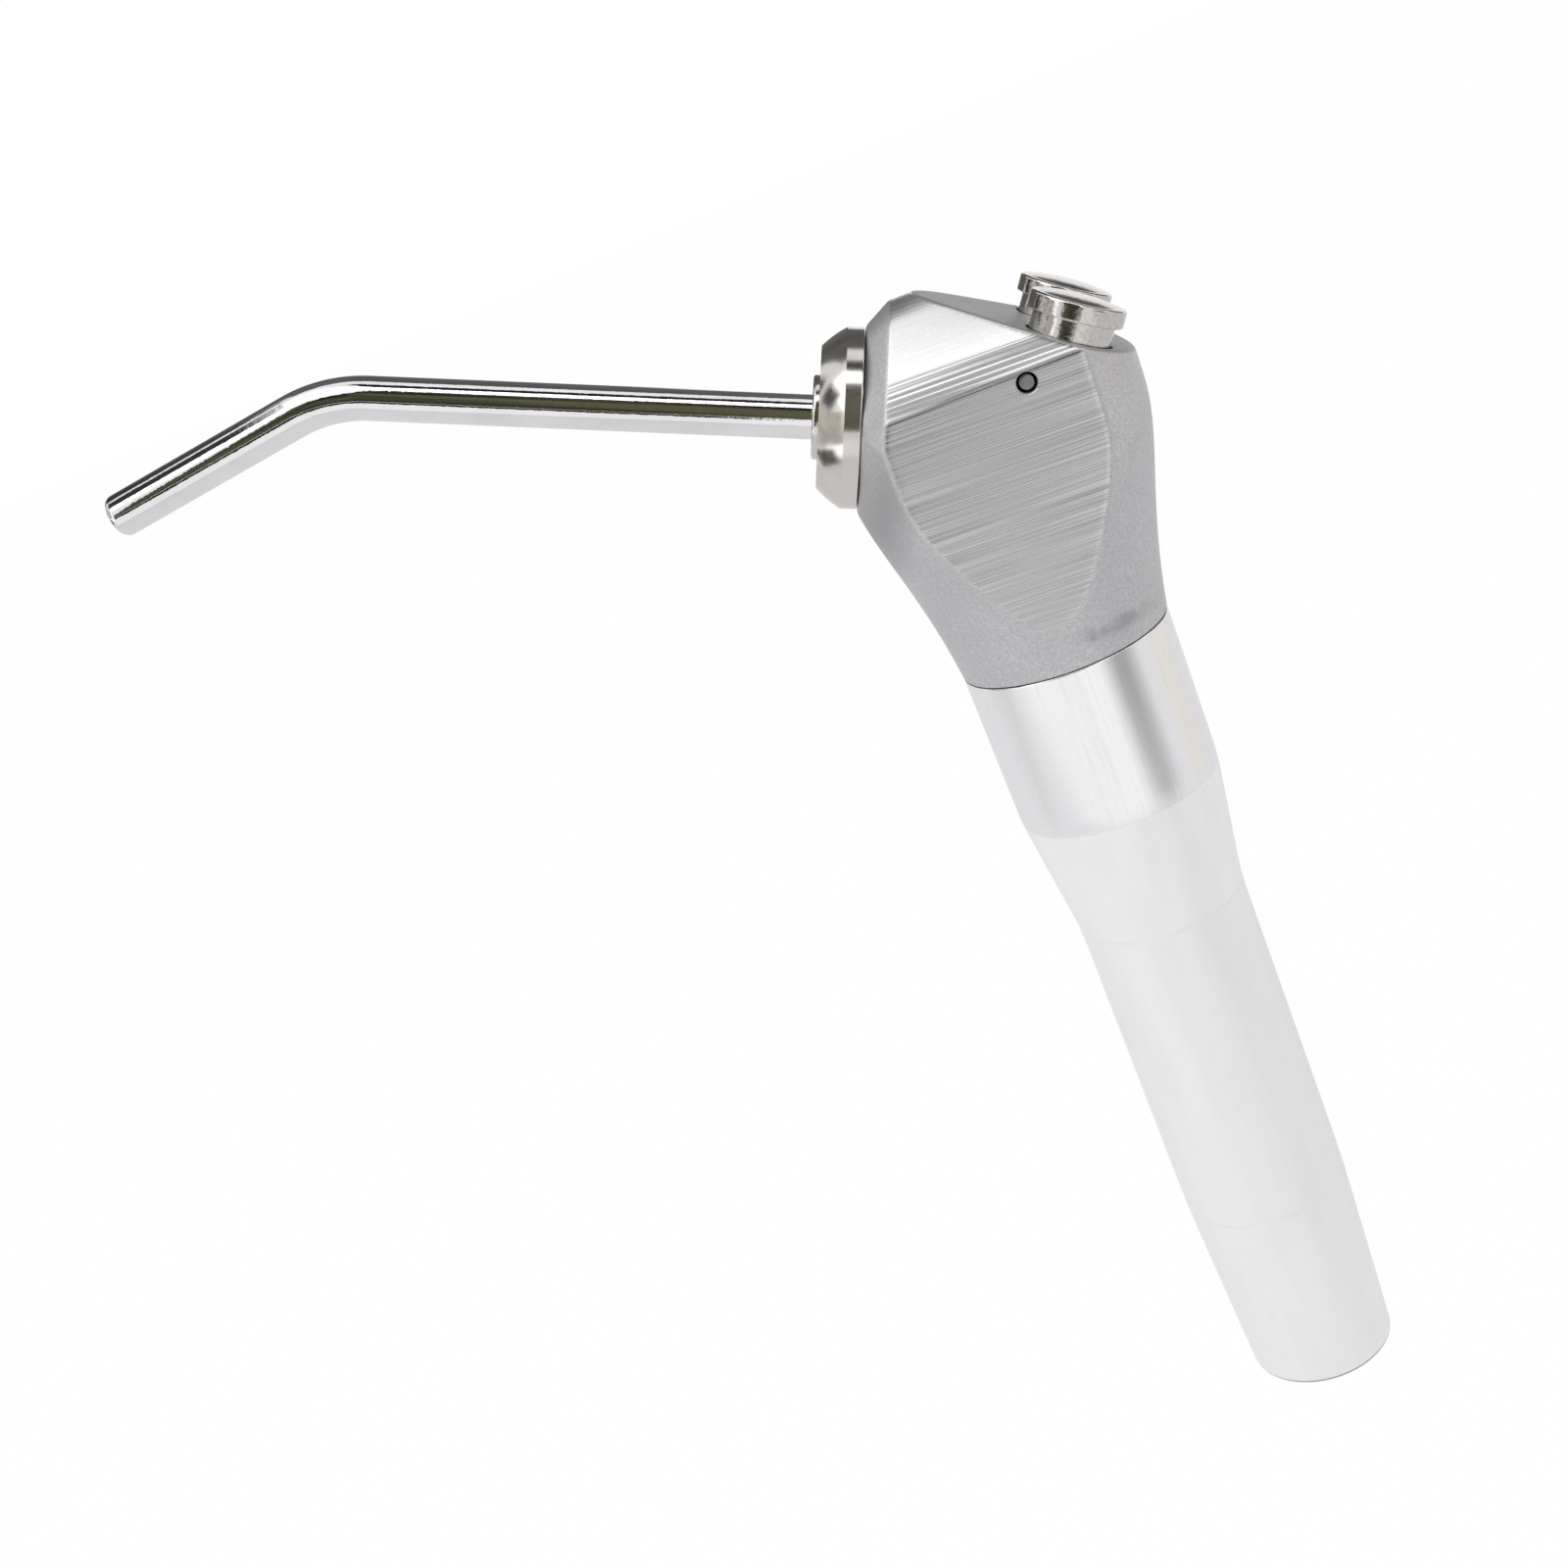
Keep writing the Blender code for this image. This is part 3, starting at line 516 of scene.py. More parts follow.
def painted_nose_shade(finish, height):
    """Return where shade is painted on the head under the nut: 1 on the chamfer, fading downwards."""
    rise = sizes().nozzle_rise
    high = height - mm("nozzle_height")
    ahead = high * math.sin(rise) - finish.x * math.cos(rise)
    return ahead.step(mm("nose_shoulder") - 4.0, mm("nose_shoulder") + 0.3) * (1.0 - high.step(-4.0, 5.0))


def handle_finish():
    """Bare aluminium: a polished band with turning lines, and a satin grip with faint rings at its corners."""
    finish = Finish("turned_aluminium")
    shades = colours()
    grip_top = mm("tail_length") + mm("grip_length")
    band_low = grip_top + mm("taper_length")
    band = finish.z.step(band_low - 0.5, band_low + 0.1)
    turning = finish.noise(finish.join(0.0, 0.0, finish.z * 6.0), 1.0, 4.0, 0.8)
    hairs = finish.noise(finish.scaled(finish.place, (3.0, 3.0, 0.04)), 1.0, 4.0, 0.7)
    cloud = finish.noise(finish.scaled(finish.place, (0.35, 0.35, 0.06)), 1.0, 3.0, 0.55)
    ring = 1.0 - abs(finish.z - band_low).step(0.05, 0.3)
    for place in (grip_top, mm("tail_length")):
        ring = ring.larger(1.0 - abs(finish.z - place).step(0.05, 0.35))
    rim = 1.0 - finish.z.step(0.25, 0.5)
    grip = 1.0 - finish.z.step(grip_top - 0.15, grip_top + 0.15)
    base = finish.mix(cloud.step(0.3, 0.7), tint(shades.handle, 0.97), tint(shades.handle, 1.02))
    base = finish.mix(turning.step(0.3, 0.7) * (0.2 + band * 0.4), base, tint(shades.handle, 0.94))
    base = finish.mix(hairs.step(0.5, 0.75) * band * 0.7, base, tint(shades.handle, 0.78))
    base = finish.mix(grip * 0.25, base, tint(shades.handle, 0.94))
    base = finish.mix(band * 0.6, base, tint(shades.handle, 0.91))
    base = finish.mix(ring * cloud.step(0.35, 0.65) * 0.4, base, tint(shades.handle, 0.9))
    base = finish.mix(rim, base, tint(shades.handle, 0.3))
    polished = finish.shader(base, 0.2 + (hairs - 0.5) * 0.15, 1.0, (hairs, 0.12, 0.03), 0.6)
    satin = finish.shader(base, 0.58 + (turning - 0.5) * 0.1, 0.8, (turning, 0.1, 0.02))
    mixed = finish.add("ShaderNodeMixShader", None, {0: band, 1: satin, 2: polished})
    return finish.done(mixed.outputs[0])


def plate_finish(name, shade, rough, wave, wear):
    """Bright plate: long waves that bend its reflections, light wiping marks and, where worn, specks and pits."""
    finish = Finish(name)
    drift = finish.noise(finish.place, 0.22, 2.0, 0.5)
    ripple = finish.noise(finish.place, 1.6, 2.0, 0.5)
    wipe = finish.noise(finish.scaled(finish.place, (0.25, 3.0, 3.0)), 1.0, 3.0, 0.6)
    pit = finish.noise(finish.place, 2.6, 2.0, 0.6).step(0.70, 0.74) * min(wear, 1.0)
    speck = finish.noise(finish.place, 3.4, 3.0, 0.75).step(0.42, 0.66) * wear
    base = finish.mix(drift.step(0.3, 0.7), tint(shade, 0.96), tint(shade, 1.03))
    base = finish.mix(speck * 0.35, base, tint(shade, 0.45))
    base = finish.mix(pit, base, tint(shade, 0.25))
    gloss = rough + wipe.step(0.4, 0.8) * 0.04 + pit * 0.3
    return finish.done(finish.shader(base, gloss, 1.0, (ripple * wave + pit * -0.3, 0.2, 0.05)))


def metal_finish(name, shade, rough):
    """Plain machined metal: turning marks and a slight unevenness."""
    finish = Finish(name)
    turning = finish.noise(finish.scaled(finish.place, (1.0, 1.0, 6.0)), 2.0, 3.0, 0.7)
    cloud = finish.noise(finish.place, 0.8, 3.0, 0.5)
    base = finish.mix(cloud.step(0.3, 0.7), tint(shade, 0.8), tint(shade, 1.12))
    return finish.done(finish.shader(base, rough + (turning - 0.5) * 0.2, 1.0, (turning, 0.15, 0.02)))


def soft_finish(name, shade, rough):
    """Moulded rubber or punched nylon: a fine dull grain."""
    finish = Finish(name)
    grain = finish.noise(finish.place, 14.0, 3.0, 0.6)
    cloud = finish.noise(finish.place, 1.2, 2.0, 0.5)
    base = finish.mix(cloud, tint(shade, 0.8), tint(shade, 1.2))
    return finish.done(finish.shader(base, rough + (grain - 0.5) * 0.2, 0.0, (grain, 0.2, 0.02)))


def finish_of(name):
    """Return a shared finish, making it on first use."""
    known = bpy.data.materials.get(name)
    if known:
        return known
    shades = colours()
    if name == "nickel_plate":
        return plate_finish(name, tuple(shades.nickel), 0.15, 0.5, 0.15)
    if name == "worn_nickel":
        return plate_finish(name, tint(shades.nickel, 0.95), 0.12, 2.0, 1.0)
    if name == "drawn_steel":
        return metal_finish(name, tuple(shades.steel), 0.34)
    if name == "turned_brass":
        return metal_finish(name, tuple(shades.brass), 0.3)
    if name == "moulded_rubber":
        return soft_finish(name, tuple(shades.rubber), 0.6)
    return soft_finish(name, tuple(shades.nylon), 0.5)


def corner(first, second, radius):
    """Round the edge where two distances meet: the larger of the two, with a fillet near zero."""
    inside = np.minimum(np.maximum(first, second), -radius)
    return inside + np.hypot(np.maximum(first + radius, 0.0), np.maximum(second + radius, 0.0))


def crest_centre():
    """Return where the curve of the head's upper sides has its centre, as (side, height above the joint)."""
    lean = sizes().crest_lean
    side = mm("flat_width") - mm("crest_radius") * math.cos(lean)
    return side, mm("crease_height") - mm("crest_radius") * math.sin(lean)


def ridge_level():
    """Return the height above the joint of the centre of the ridge, which both curved sides run into."""
    side, height = crest_centre()
    return height + math.sqrt((mm("crest_radius") - mm("ridge_radius")) ** 2 - side ** 2)


def flare_radius(height):
    """Return the flare's radius: a cubic curve from the handle's radius to the full round."""
    low = np.array((mm("band_top_radius"), mm("joint_line")))
    high = np.array((mm("head_radius"), mm("flare_height")))
    rise = mm("flare_height") / 2
    first = low + np.array((0.13 * rise, rise))
    second = high - np.array((0.0, mm("flare_height") / 4))
    t = np.linspace(0.0, 1.0, 200)[:, None]
    curve = low * (1 - t) ** 3 + 3 * first * t * (1 - t) ** 2 + 3 * second * t ** 2 * (1 - t) + high * t ** 3
    return np.interp(height, curve[:, 1], curve[:, 0])


def head_distance(points):
    """Return how far points lie outside the head, in millimetres from the joint's centre.

    The head is what a leaning turned flare, two flats, two curved sides that meet in a round ridge, the
    sloping button face, the front face and its chamfer all enclose, with a small fillet where two meet.
    """
    x, y, z = points[..., 0], points[..., 1], points[..., 2]
    side = np.abs(y)
    flare = np.hypot(x - 0.025 * np.maximum(z, 0.0), y) - flare_radius(z)
    flat = side - mm("flat_width")
    middle, level = crest_centre()
    top = ridge_level()
    crest = np.hypot(side - middle, z - level) - mm("crest_radius")
    ridge = np.hypot(y, z - top) - mm("ridge_radius")
    crest = np.where(side * (top - level) < -middle * (z - top), ridge, crest)
    tilt = sizes().slant_tilt
    slant = x * math.sin(tilt) + z * math.cos(tilt) - mm("slant_offset")
    rise = sizes().nozzle_rise
    high = z - mm("nozzle_height")
    ahead = high * math.sin(rise) - x * math.cos(rise)
    result = corner(flat, crest, 0.15)
    nose = (result + NOSE_SLOPE * (ahead - mm("nose_shoulder"))) / math.hypot(1.0, NOSE_SLOPE)
    result = corner(result, flare, 0.15)
    result = corner(result, corner(nose, ahead - mm("nose_reach"), 0.25), 0.12)
    result = corner(result, slant, 0.22)
    return corner(result, mm("joint_line") - z, 0.12)


def head_grid(columns=336):
    """Return the head's outer surface: where rays from its axis leave it, found by halving.

    The rays fan out from a low point for the foot, run level for the flare and fan out from a high point
    for the top, so that the rows of the grid are nearly even.
    """
    low, high = 6.0, 20.0
    foot = np.concatenate((np.linspace(-90.0, -33.0, 8), np.linspace(-31.0, -1.0, 40)))
    wall = np.linspace(low, high, 66)
    top = np.linspace(0.6, 90.0, 148)
    pitch = np.radians(np.concatenate((foot, np.zeros(len(wall)), top)))[:, None]
    start = np.concatenate((np.full(len(foot), low), wall, np.full(len(top), high)))[:, None]
    turn = np.linspace(0.0, math.tau, columns, endpoint=False)[None, :]
    level = np.cos(pitch)
    heading = np.stack((level * np.cos(turn), level * np.sin(turn), np.sin(pitch) + 0.0 * turn), axis=-1)
    origin = np.stack((0.0 * start + 0.0 * turn, 0.0 * start + 0.0 * turn, start + 0.0 * turn), axis=-1)
    near = np.zeros(heading.shape[:2])
    far = np.full(heading.shape[:2], 40.0)
    for step in range(34):
        middle = (near + far) / 2
        outside = head_distance(origin + heading * middle[..., None]) > 0.0
        far = np.where(outside, middle, far)
        near = np.where(outside, near, middle)
    points = origin + heading * near[..., None]
    return points + np.array((0.0, 0.0, joint_height()))


def cut_holes(mesh, tools):
    """Take tool meshes from a mesh and return the result, shaded smooth with sharp edges by angle."""
    item = bpy.data.objects.new("blank", mesh)
    bpy.context.collection.objects.link(item)
    helpers = []
    for tool in tools:
        helper = bpy.data.objects.new("tool", tool)
        bpy.context.collection.objects.link(helper)
        helpers.append(helper)
        step = item.modifiers.new("hole", "BOOLEAN")
        step.operation = "DIFFERENCE"
        step.solver = "EXACT"
        step.object = helper
    ready = item.evaluated_get(bpy.context.evaluated_depsgraph_get())
    result = bpy.data.meshes.new_from_object(ready)
    for helper in helpers + [item]:
        bpy.data.objects.remove(helper)
    result.shade_smooth()
    result.set_sharp_from_angle(angle=math.radians(34.0))
    return result


def bar(radius, low, high, axis, sides=64):
    """Return the mesh of a plain round bar on an axis, used to cut a hole."""
    outline = np.array(((0.0, low), (radius, low), (radius, high), (0.0, high)))
    return mesh_of("bar", [(revolved(outline, axis, sides), False)])


def pin_axis():
    """Return the frame of the retaining pin, which runs across both button bores."""
    middle = button_axis(0.0)
    return Axis(middle.place(np.array(-3.05), np.array(0.0), np.array(-3.9)), 0.0)


class SYRINGE_OT_handle(bpy.types.Operator):
    """Turn the hollow handle with its band, cone, grip and tapered tail"""

    bl_idname = "syringe.handle"
    bl_label = "Handle"

    def execute(self, context):
        """Build the handle."""
        top = joint_height()
        grip_top = mm("tail_length") + mm("grip_length")
        floor = top - mm("socket_depth")
        bore, socket = mm("hose_bore"), mm("socket_radius")
        corners = [(bore, 0.0, 0.35), (mm("tail_radius"), 0.0, 0.55), (mm("grip_radius"), mm("tail_length"), 4.0),
                   (mm("grip_radius"), grip_top, 2.2), (mm("band_low_radius"), grip_top + mm("taper_length"), 1.6),
                   (mm("band_top_radius"), top, 0.12), (socket, top, 0.3), (socket, floor, 0.0), (bore, floor, 0.0)]
        grid = revolved(soft_profile(corners, True), handle_axis(), 192)
        piece("handle", mesh_of("handle", [(grid, True)]), handle_finish(), ROOT_BODY, "bare_aluminium",
              "handle_sleeve")
        return {"FINISHED"}


class SYRINGE_OT_head(bpy.types.Operator):
    """Form the valve head with its flats, nose and holes, and the spigot under it"""

    bl_idname = "syringe.head"
    bl_label = "Valve head"

    def execute(self, context):
        """Build the head."""
        blank = mesh_of("valve_head", [(head_grid(), False)])
        tools = [bar(mm("button_radius") + 0.25, -13.0, 30.0, button_axis(side)) for name, side in SIDES]
        tools.append(bar(5.5, 5.35, mm("nose_reach") + 5.0, nozzle_axis()))
        across = pin_axis()
        across.along, across.second = across.second, -across.along
        hole, half = mm("pin_radius") + mm("pin_gap"), mm("flat_width")
        sink = [(0.0, -half - 1.0), (hole + 1.1, -half - 1.0), (hole, -half + 0.1), (hole, half - 0.1),
                (hole + 1.1, half + 1.0), (0.0, half + 1.0)]
        tools.append(mesh_of("pin_hole", [(revolved(np.array(sink), across, 48), False)]))
        head = cut_holes(blank, tools)
        piece("valve_head", head, head_finish(), ROOT_BODY, "blasted_aluminium", "head_body")
        base = joint_height() + mm("joint_line") + 0.2
        spigot = mm("socket_radius") - 0.25
        corners = [(0.0, base - 10.5, 0.0), (spigot, base - 10.5, 0.3), (spigot, base, 0.0), (0.0, base, 0.0)]
        foot = mesh_of("head_spigot", [(revolved(soft_profile(corners), handle_axis(), 96), False)])
        piece("head_spigot", foot, bpy.data.materials["blasted_and_milled"], ROOT_BODY, "blasted_aluminium")
        return {"FINISHED"}


def bent_tube(radius, wall, rear, recess, rounding, mouth, sides):
    """Return the grid of a bent tube: circles carried along a straight, an arc and a straight.

    The outer wall runs to the tip, where it is rounded in to a mouth, and the inner wall runs back.
    """
    bend = sizes().bend_angle
    turn = mm("bend_radius")
    tangent = turn * math.tan(bend / 2)
    begin = mm("bend_station") - tangent
    lean = np.linspace(0.0, bend, 40)
    run = np.linspace(0.0, 1.0, 30)[:-1]
    ends = mm("tip_length") - tangent - recess
    across = np.concatenate((0.0 * run, turn * (np.cos(lean) - 1.0)))
    ahead = np.concatenate((rear + (begin - rear) * run, begin + turn * np.sin(lean)))
    tilt = np.concatenate((0.0 * run, lean))
    last = np.array((across[-1], ahead[-1]))
    heading = np.array((-math.sin(bend), math.cos(bend)))
    quarter = np.linspace(0.0, math.pi / 2, 13)
    reach = np.concatenate((np.linspace(0.3, 1.0, 8) * (ends - rounding), ends - rounding + rounding * np.sin(quarter)))
    size = np.concatenate((np.full(8, radius), radius - rounding * (1.0 - np.cos(quarter))))
    outer = np.vstack((np.stack((across, ahead), 1), last + reach[:, None] * heading))
    outer_size = np.concatenate((np.full(len(across), radius), size))
    back = np.array((ends, ends - rounding / 4, ends - rounding, ends / 2))
    inner = np.vstack((last + back[:, None] * heading, np.stack((across, ahead), 1)[::-1]))
    path = np.vstack((outer, inner))
    inner_size = np.full(len(inner), radius - wall)
    inner_size[:2] = mouth
    sizes_here = np.concatenate((outer_size, inner_size))
    tilts = np.concatenate((tilt, np.full(len(reach), bend), np.full(len(back), bend), tilt[::-1]))
    angles = np.linspace(0.0, math.tau, sides, endpoint=False)[None, :]
    up = sizes_here[:, None] * np.cos(angles)
    first = path[:, 0][:, None] + up * np.cos(tilts)[:, None]
    along = path[:, 1][:, None] + up * np.sin(tilts)[:, None]
    second = sizes_here[:, None] * np.sin(angles)
    return nozzle_axis().place(first, second, along)


class SYRINGE_OT_nozzle(bpy.types.Operator):
    """Sweep the bent spray nozzle and the water tube inside it"""

    bl_idname = "syringe.nozzle"
    bl_label = "Nozzle"

    def execute(self, context):
        """Build both tubes."""
        outer = bent_tube(mm("tube_radius"), mm("tube_wall"), 0.7, 0.0, mm("tip_rounding"), mm("mouth_radius"), 96)
        chrome = plate_finish("chrome_plate", tuple(colours().chrome), 0.035, 1.0, 0.0)
        piece("spray_nozzle", mesh_of("spray_nozzle", [(outer, True)]), chrome, "nozzle", "chrome", "nozzle_tube")
        inner = bent_tube(0.9, 0.35, -0.9, 1.5, 0.12, 0.55, 40)
        piece("water_tube", mesh_of("water_tube", [(inner, True)]), finish_of("drawn_steel"), "nozzle", "steel",
              "nozzle_water_tube")
        return {"FINISHED"}


class SYRINGE_OT_nut(bpy.types.Operator):
    """Turn the clamping nut and the collet that stands out of it"""

    bl_idname = "syringe.nut"
    bl_label = "Nut and collet"

    def execute(self, context):
        """Build the nut and the collet."""
        rear = mm("nose_reach") + mm("joint_line")
        front = mm("nose_reach") + 3.8
        hole = mm("collet_radius") + 0.25
        face, rim = mm("nut_face_radius"), mm("nut_radius")
        share = np.linspace(0.0, 1.0, 15)[:, None]
        swell = 0.4 * share * (1.0 - share) * np.array((0.78, 0.63))
        dome = np.array((face, front)) * (1.0 - share) + np.array((rim, rear + 1.5)) * share + swell
        corners = [(rim, rear + 1.5, 0.0), (rim, rear, 0.12), (5.2, rear, 0.0), (5.2, rear - 4.1, 0.2),
                   (hole, rear - 4.1, 0.0), (hole, front, 0.15), (face, front, 0.0)]
        outline = np.vstack((dome[:-1], soft_profile(corners)[:-1]))
        grid = revolved(outline, nozzle_axis(), 160)
        piece("clamping_nut", mesh_of("clamping_nut", [(grid, True)], 15.0), finish_of("nickel_plate"), "nut", "chrome",
              "nozzle_nut")
        tube = mm("tube_radius") + 0.25
        tip = front + 0.6
        shoulder = rear - 4.38
        corners = [(tube, tip, 0.1), (mm("collet_radius"), tip, 0.4), (mm("collet_radius"), shoulder, 0.0),
                   (5.25, shoulder, 0.1), (5.25, shoulder - 0.75, 0.1), (tube, shoulder - 0.75, 0.0)]
        grid = revolved(soft_profile(corners, True), nozzle_axis(), 96)
        piece("collet", mesh_of("collet", [(grid, True)]), finish_of("nickel_plate"), ROOT_BODY, "chrome",
              "nozzle_collet")
        return {"FINISHED"}


class SYRINGE_OT_buttons(bpy.types.Operator):
    """Turn both push buttons, each with a notch for the retaining pin"""

    bl_idname = "syringe.buttons"
    bl_label = "Buttons"

    def execute(self, context):
        """Build the buttons: a turned outline whose radius stops at the notch's flat."""
        rim = mm("flange_radius")
        body = mm("button_radius")
        crown = np.linspace(0.0, 1.0, 24)
        dome = np.stack((crown * (rim - 0.45), 3.25 + 0.35 * (1.0 - crown ** 2.6)), axis=1)
        corners = [(rim - 0.45, 3.25, 0.0), (rim, 3.25, 0.3), (rim, 1.7, 0.14), (body, 1.7, 0.1), (body, -1.4, 0.0),
                   (body, -1.41, 0.0), (body, -4.89, 0.0), (body, -4.9, 0.0), (body, -6.6, 0.15), (1.15, -6.6, 0.0),
                   (1.15, -3.7, 0.0), (0.0, -3.7, 0.0)]
        outline = np.vstack((dome[:-1], soft_profile(corners)))
        turn = np.linspace(0.0, math.tau, 128, endpoint=False)[None, :]
        radius = np.repeat(outline[:, 0][:, None], 128, axis=1)
        height = np.repeat(outline[:, 1][:, None], 128, axis=1)
        notched = (height < -1.405) & (height > -4.895) & (radius > 2.0)
        limit = 2.05 / np.maximum(-np.cos(turn), 0.001)
        radius = np.where(notched, np.minimum(radius, limit), radius)
        for name, side in SIDES:
            grid = button_axis(side).place(radius * np.cos(turn), radius * np.sin(turn), height)
            piece(name + "_push_button", mesh_of(name + "_push_button", [(grid, False)]), finish_of("worn_nickel"),
                  name + "_push", "chrome", name + "_button")
        return {"FINISHED"}


class SYRINGE_OT_pin(bpy.types.Operator):
    """Turn the retaining pin with its rounded ends"""

    bl_idname = "syringe.pin"
    bl_label = "Retaining pin"

    def execute(self, context):
        """Build the pin."""
        across = pin_axis()
        across.along, across.second = across.second, -across.along
        half = mm("flat_width") - 0.3
        radius = mm("pin_radius")
        corners = [(0.0, -half, 0.0), (radius, -half, 0.22), (radius, half, 0.22), (0.0, half, 0.0)]
        grid = revolved(soft_profile(corners), across, 48)
        piece("cross_pin", mesh_of("cross_pin", [(grid, False)]), finish_of("drawn_steel"), ROOT_BODY, "steel",
              "retaining_pin")
        return {"FINISHED"}


class SYRINGE_OT_springs(bpy.types.Operator):
    """Wind both return springs at one length; the real ones shorten when a button is pressed"""

    bl_idname = "syringe.springs"
    bl_label = "Springs"

    def execute(self, context):
        """Build the springs: a small circle carried round a helix."""
        low, high, turns, coil, wire = -12.42, -7.18, 4.5, 2.5, 0.28
        share = np.linspace(0.0, 1.0, 220)[:, None]
        turn = math.tau * turns * share
        angles = np.linspace(0.0, math.tau, 12, endpoint=False)[None, :]
        taper = np.sqrt(np.clip(1.0 - (np.abs(share - 0.5) * 2.0) ** 60, 0.0, 1.0)) * wire
        reach = coil + taper * np.cos(angles)
        height = low + (high - low) * share + taper * np.sin(angles)
        for name, side in SIDES:
            axis = button_axis(side)
            grid = axis.place(reach * np.cos(turn), reach * np.sin(turn), height)
            spring = piece(name + "_return_spring", mesh_of(name + "_return_spring", [(grid, False)]),
                           finish_of("drawn_steel"), ROOT_BODY, "steel", name + "_button_spring")
            anchor = axis.place(np.array(0.0), np.array(0.0), np.array(low - wire)) * MM
            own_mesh(spring)
        return {"FINISHED"}


class SYRINGE_OT_inside(bpy.types.Operator):
    """Give the pieces inside the syringe their finishes"""

    bl_idname = "syringe.inside"
    bl_label = "Inner pieces"

    def execute(self, context):
        """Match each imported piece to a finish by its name."""
        kinds = (("o_ring", "moulded_rubber"), ("gasket", "punched_nylon"), ("barb", "turned_brass"),
                 ("stem", "turned_brass"), ("gland", "turned_brass"))
        for name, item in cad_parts.items():
            for word, finish in kinds:
                if word in name:
                    item.data.materials.clear()
                    item.data.materials.append(finish_of(finish))
                    break
        return {"FINISHED"}


class SYRINGE_OT_stage(bpy.types.Operator):
    """Set the pale floor, the white surround, the soft lights, the reflection cards and the camera"""

    bl_idname = "syringe.stage"
    bl_label = "Stage"

    def execute(self, context):
        """Build the stage."""
        scene = context.scene
        scene.view_settings.view_transform = "Standard"
        camera = bpy.data.objects.new("camera", bpy.data.cameras.new("camera"))
        camera.data.sensor_width = 36.0
        camera.data.lens = 48.17
        camera.data.clip_start = 0.01
        camera.location = (0.001285, -0.186878, 0.139499)
        camera.rotation_euler = (1.228684, 0.382150, 0.030610)
        scene.collection.objects.link(camera)
        scene.camera = camera
        floor_and_surround(scene)
        reflection_cards(camera)
        soft_lights(scene)
        return {"FINISHED"}


def floor_and_surround(scene):
    """Add a wide pale floor well below the syringe and a white surround."""
    reach = 6.0
    corners = [(-reach, -reach, -0.22), (reach, -reach, -0.22), (reach, reach, -0.22), (-reach, reach, -0.22)]
    mesh = bpy.data.meshes.new("floor")
    mesh.from_pydata(corners, [], [(0, 1, 2, 3)])
    floor = bpy.data.objects.new("floor", mesh)
    scene.collection.objects.link(floor)
    floor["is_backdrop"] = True
    finish = bpy.data.materials.new("pale_floor")
    finish.use_nodes = True
    nodes = Nodes(finish.node_tree)
    matte = nodes.add("ShaderNodeBsdfDiffuse", None, {"Color": (*colours().floor, 1.0)})
    glow = nodes.add("ShaderNodeEmission", None, {"Color": (1.0, 1.0, 1.0, 1.0), "Strength": 1.0})
    seen = nodes.shown() * 0.98
    mixed = nodes.add("ShaderNodeMixShader", None, {0: seen, 1: matte.outputs[0], 2: glow.outputs[0]})
    nodes.add("ShaderNodeOutputMaterial", None, {0: mixed.outputs[0]})
    mesh.materials.append(finish)
    world = bpy.data.worlds.new("surround")
    world.use_nodes = True
    scene.world = world
    nodes = Nodes(world.node_tree)
    strength = 0.72 + nodes.shown() * 0.28
    sky = nodes.add("ShaderNodeBackground", None, {"Color": (1.0, 1.0, 1.0, 1.0), "Strength": strength})
    nodes.add("ShaderNodeOutputWorld", None, {0: sky.outputs[0]})


def card_finish(name, dark, light, grain, soft):
    """Glow weakly in uneven patches of two colours and fade out at the edges, as a room does in a reflection."""
    finish = Finish(name)
    patches = finish.noise(finish.place, grain, 2.0, 0.5)
    shade = finish.mix(patches.step(0.35, 0.65), dark, light)
    glow = finish.add("ShaderNodeEmission", None, {"Color": shade, "Strength": 1.0})
    clear = finish.add("ShaderNodeBsdfTransparent")
    sheet = finish.add("ShaderNodeSeparateXYZ", None, {0: finish.add("ShaderNodeUVMap").outputs[0]})
    inward = [1.0 - abs(Value(finish, sheet.outputs[index]) * 2.0 - 1.0) for index in range(2)]
    cover = inward[0].step(0.0, soft[0]) * inward[1].step(0.0, soft[1])
    mixed = finish.add("ShaderNodeMixShader", None, {0: cover, 1: clear.outputs[0], 2: glow.outputs[0]})
    return finish.done(mixed.outputs[0])


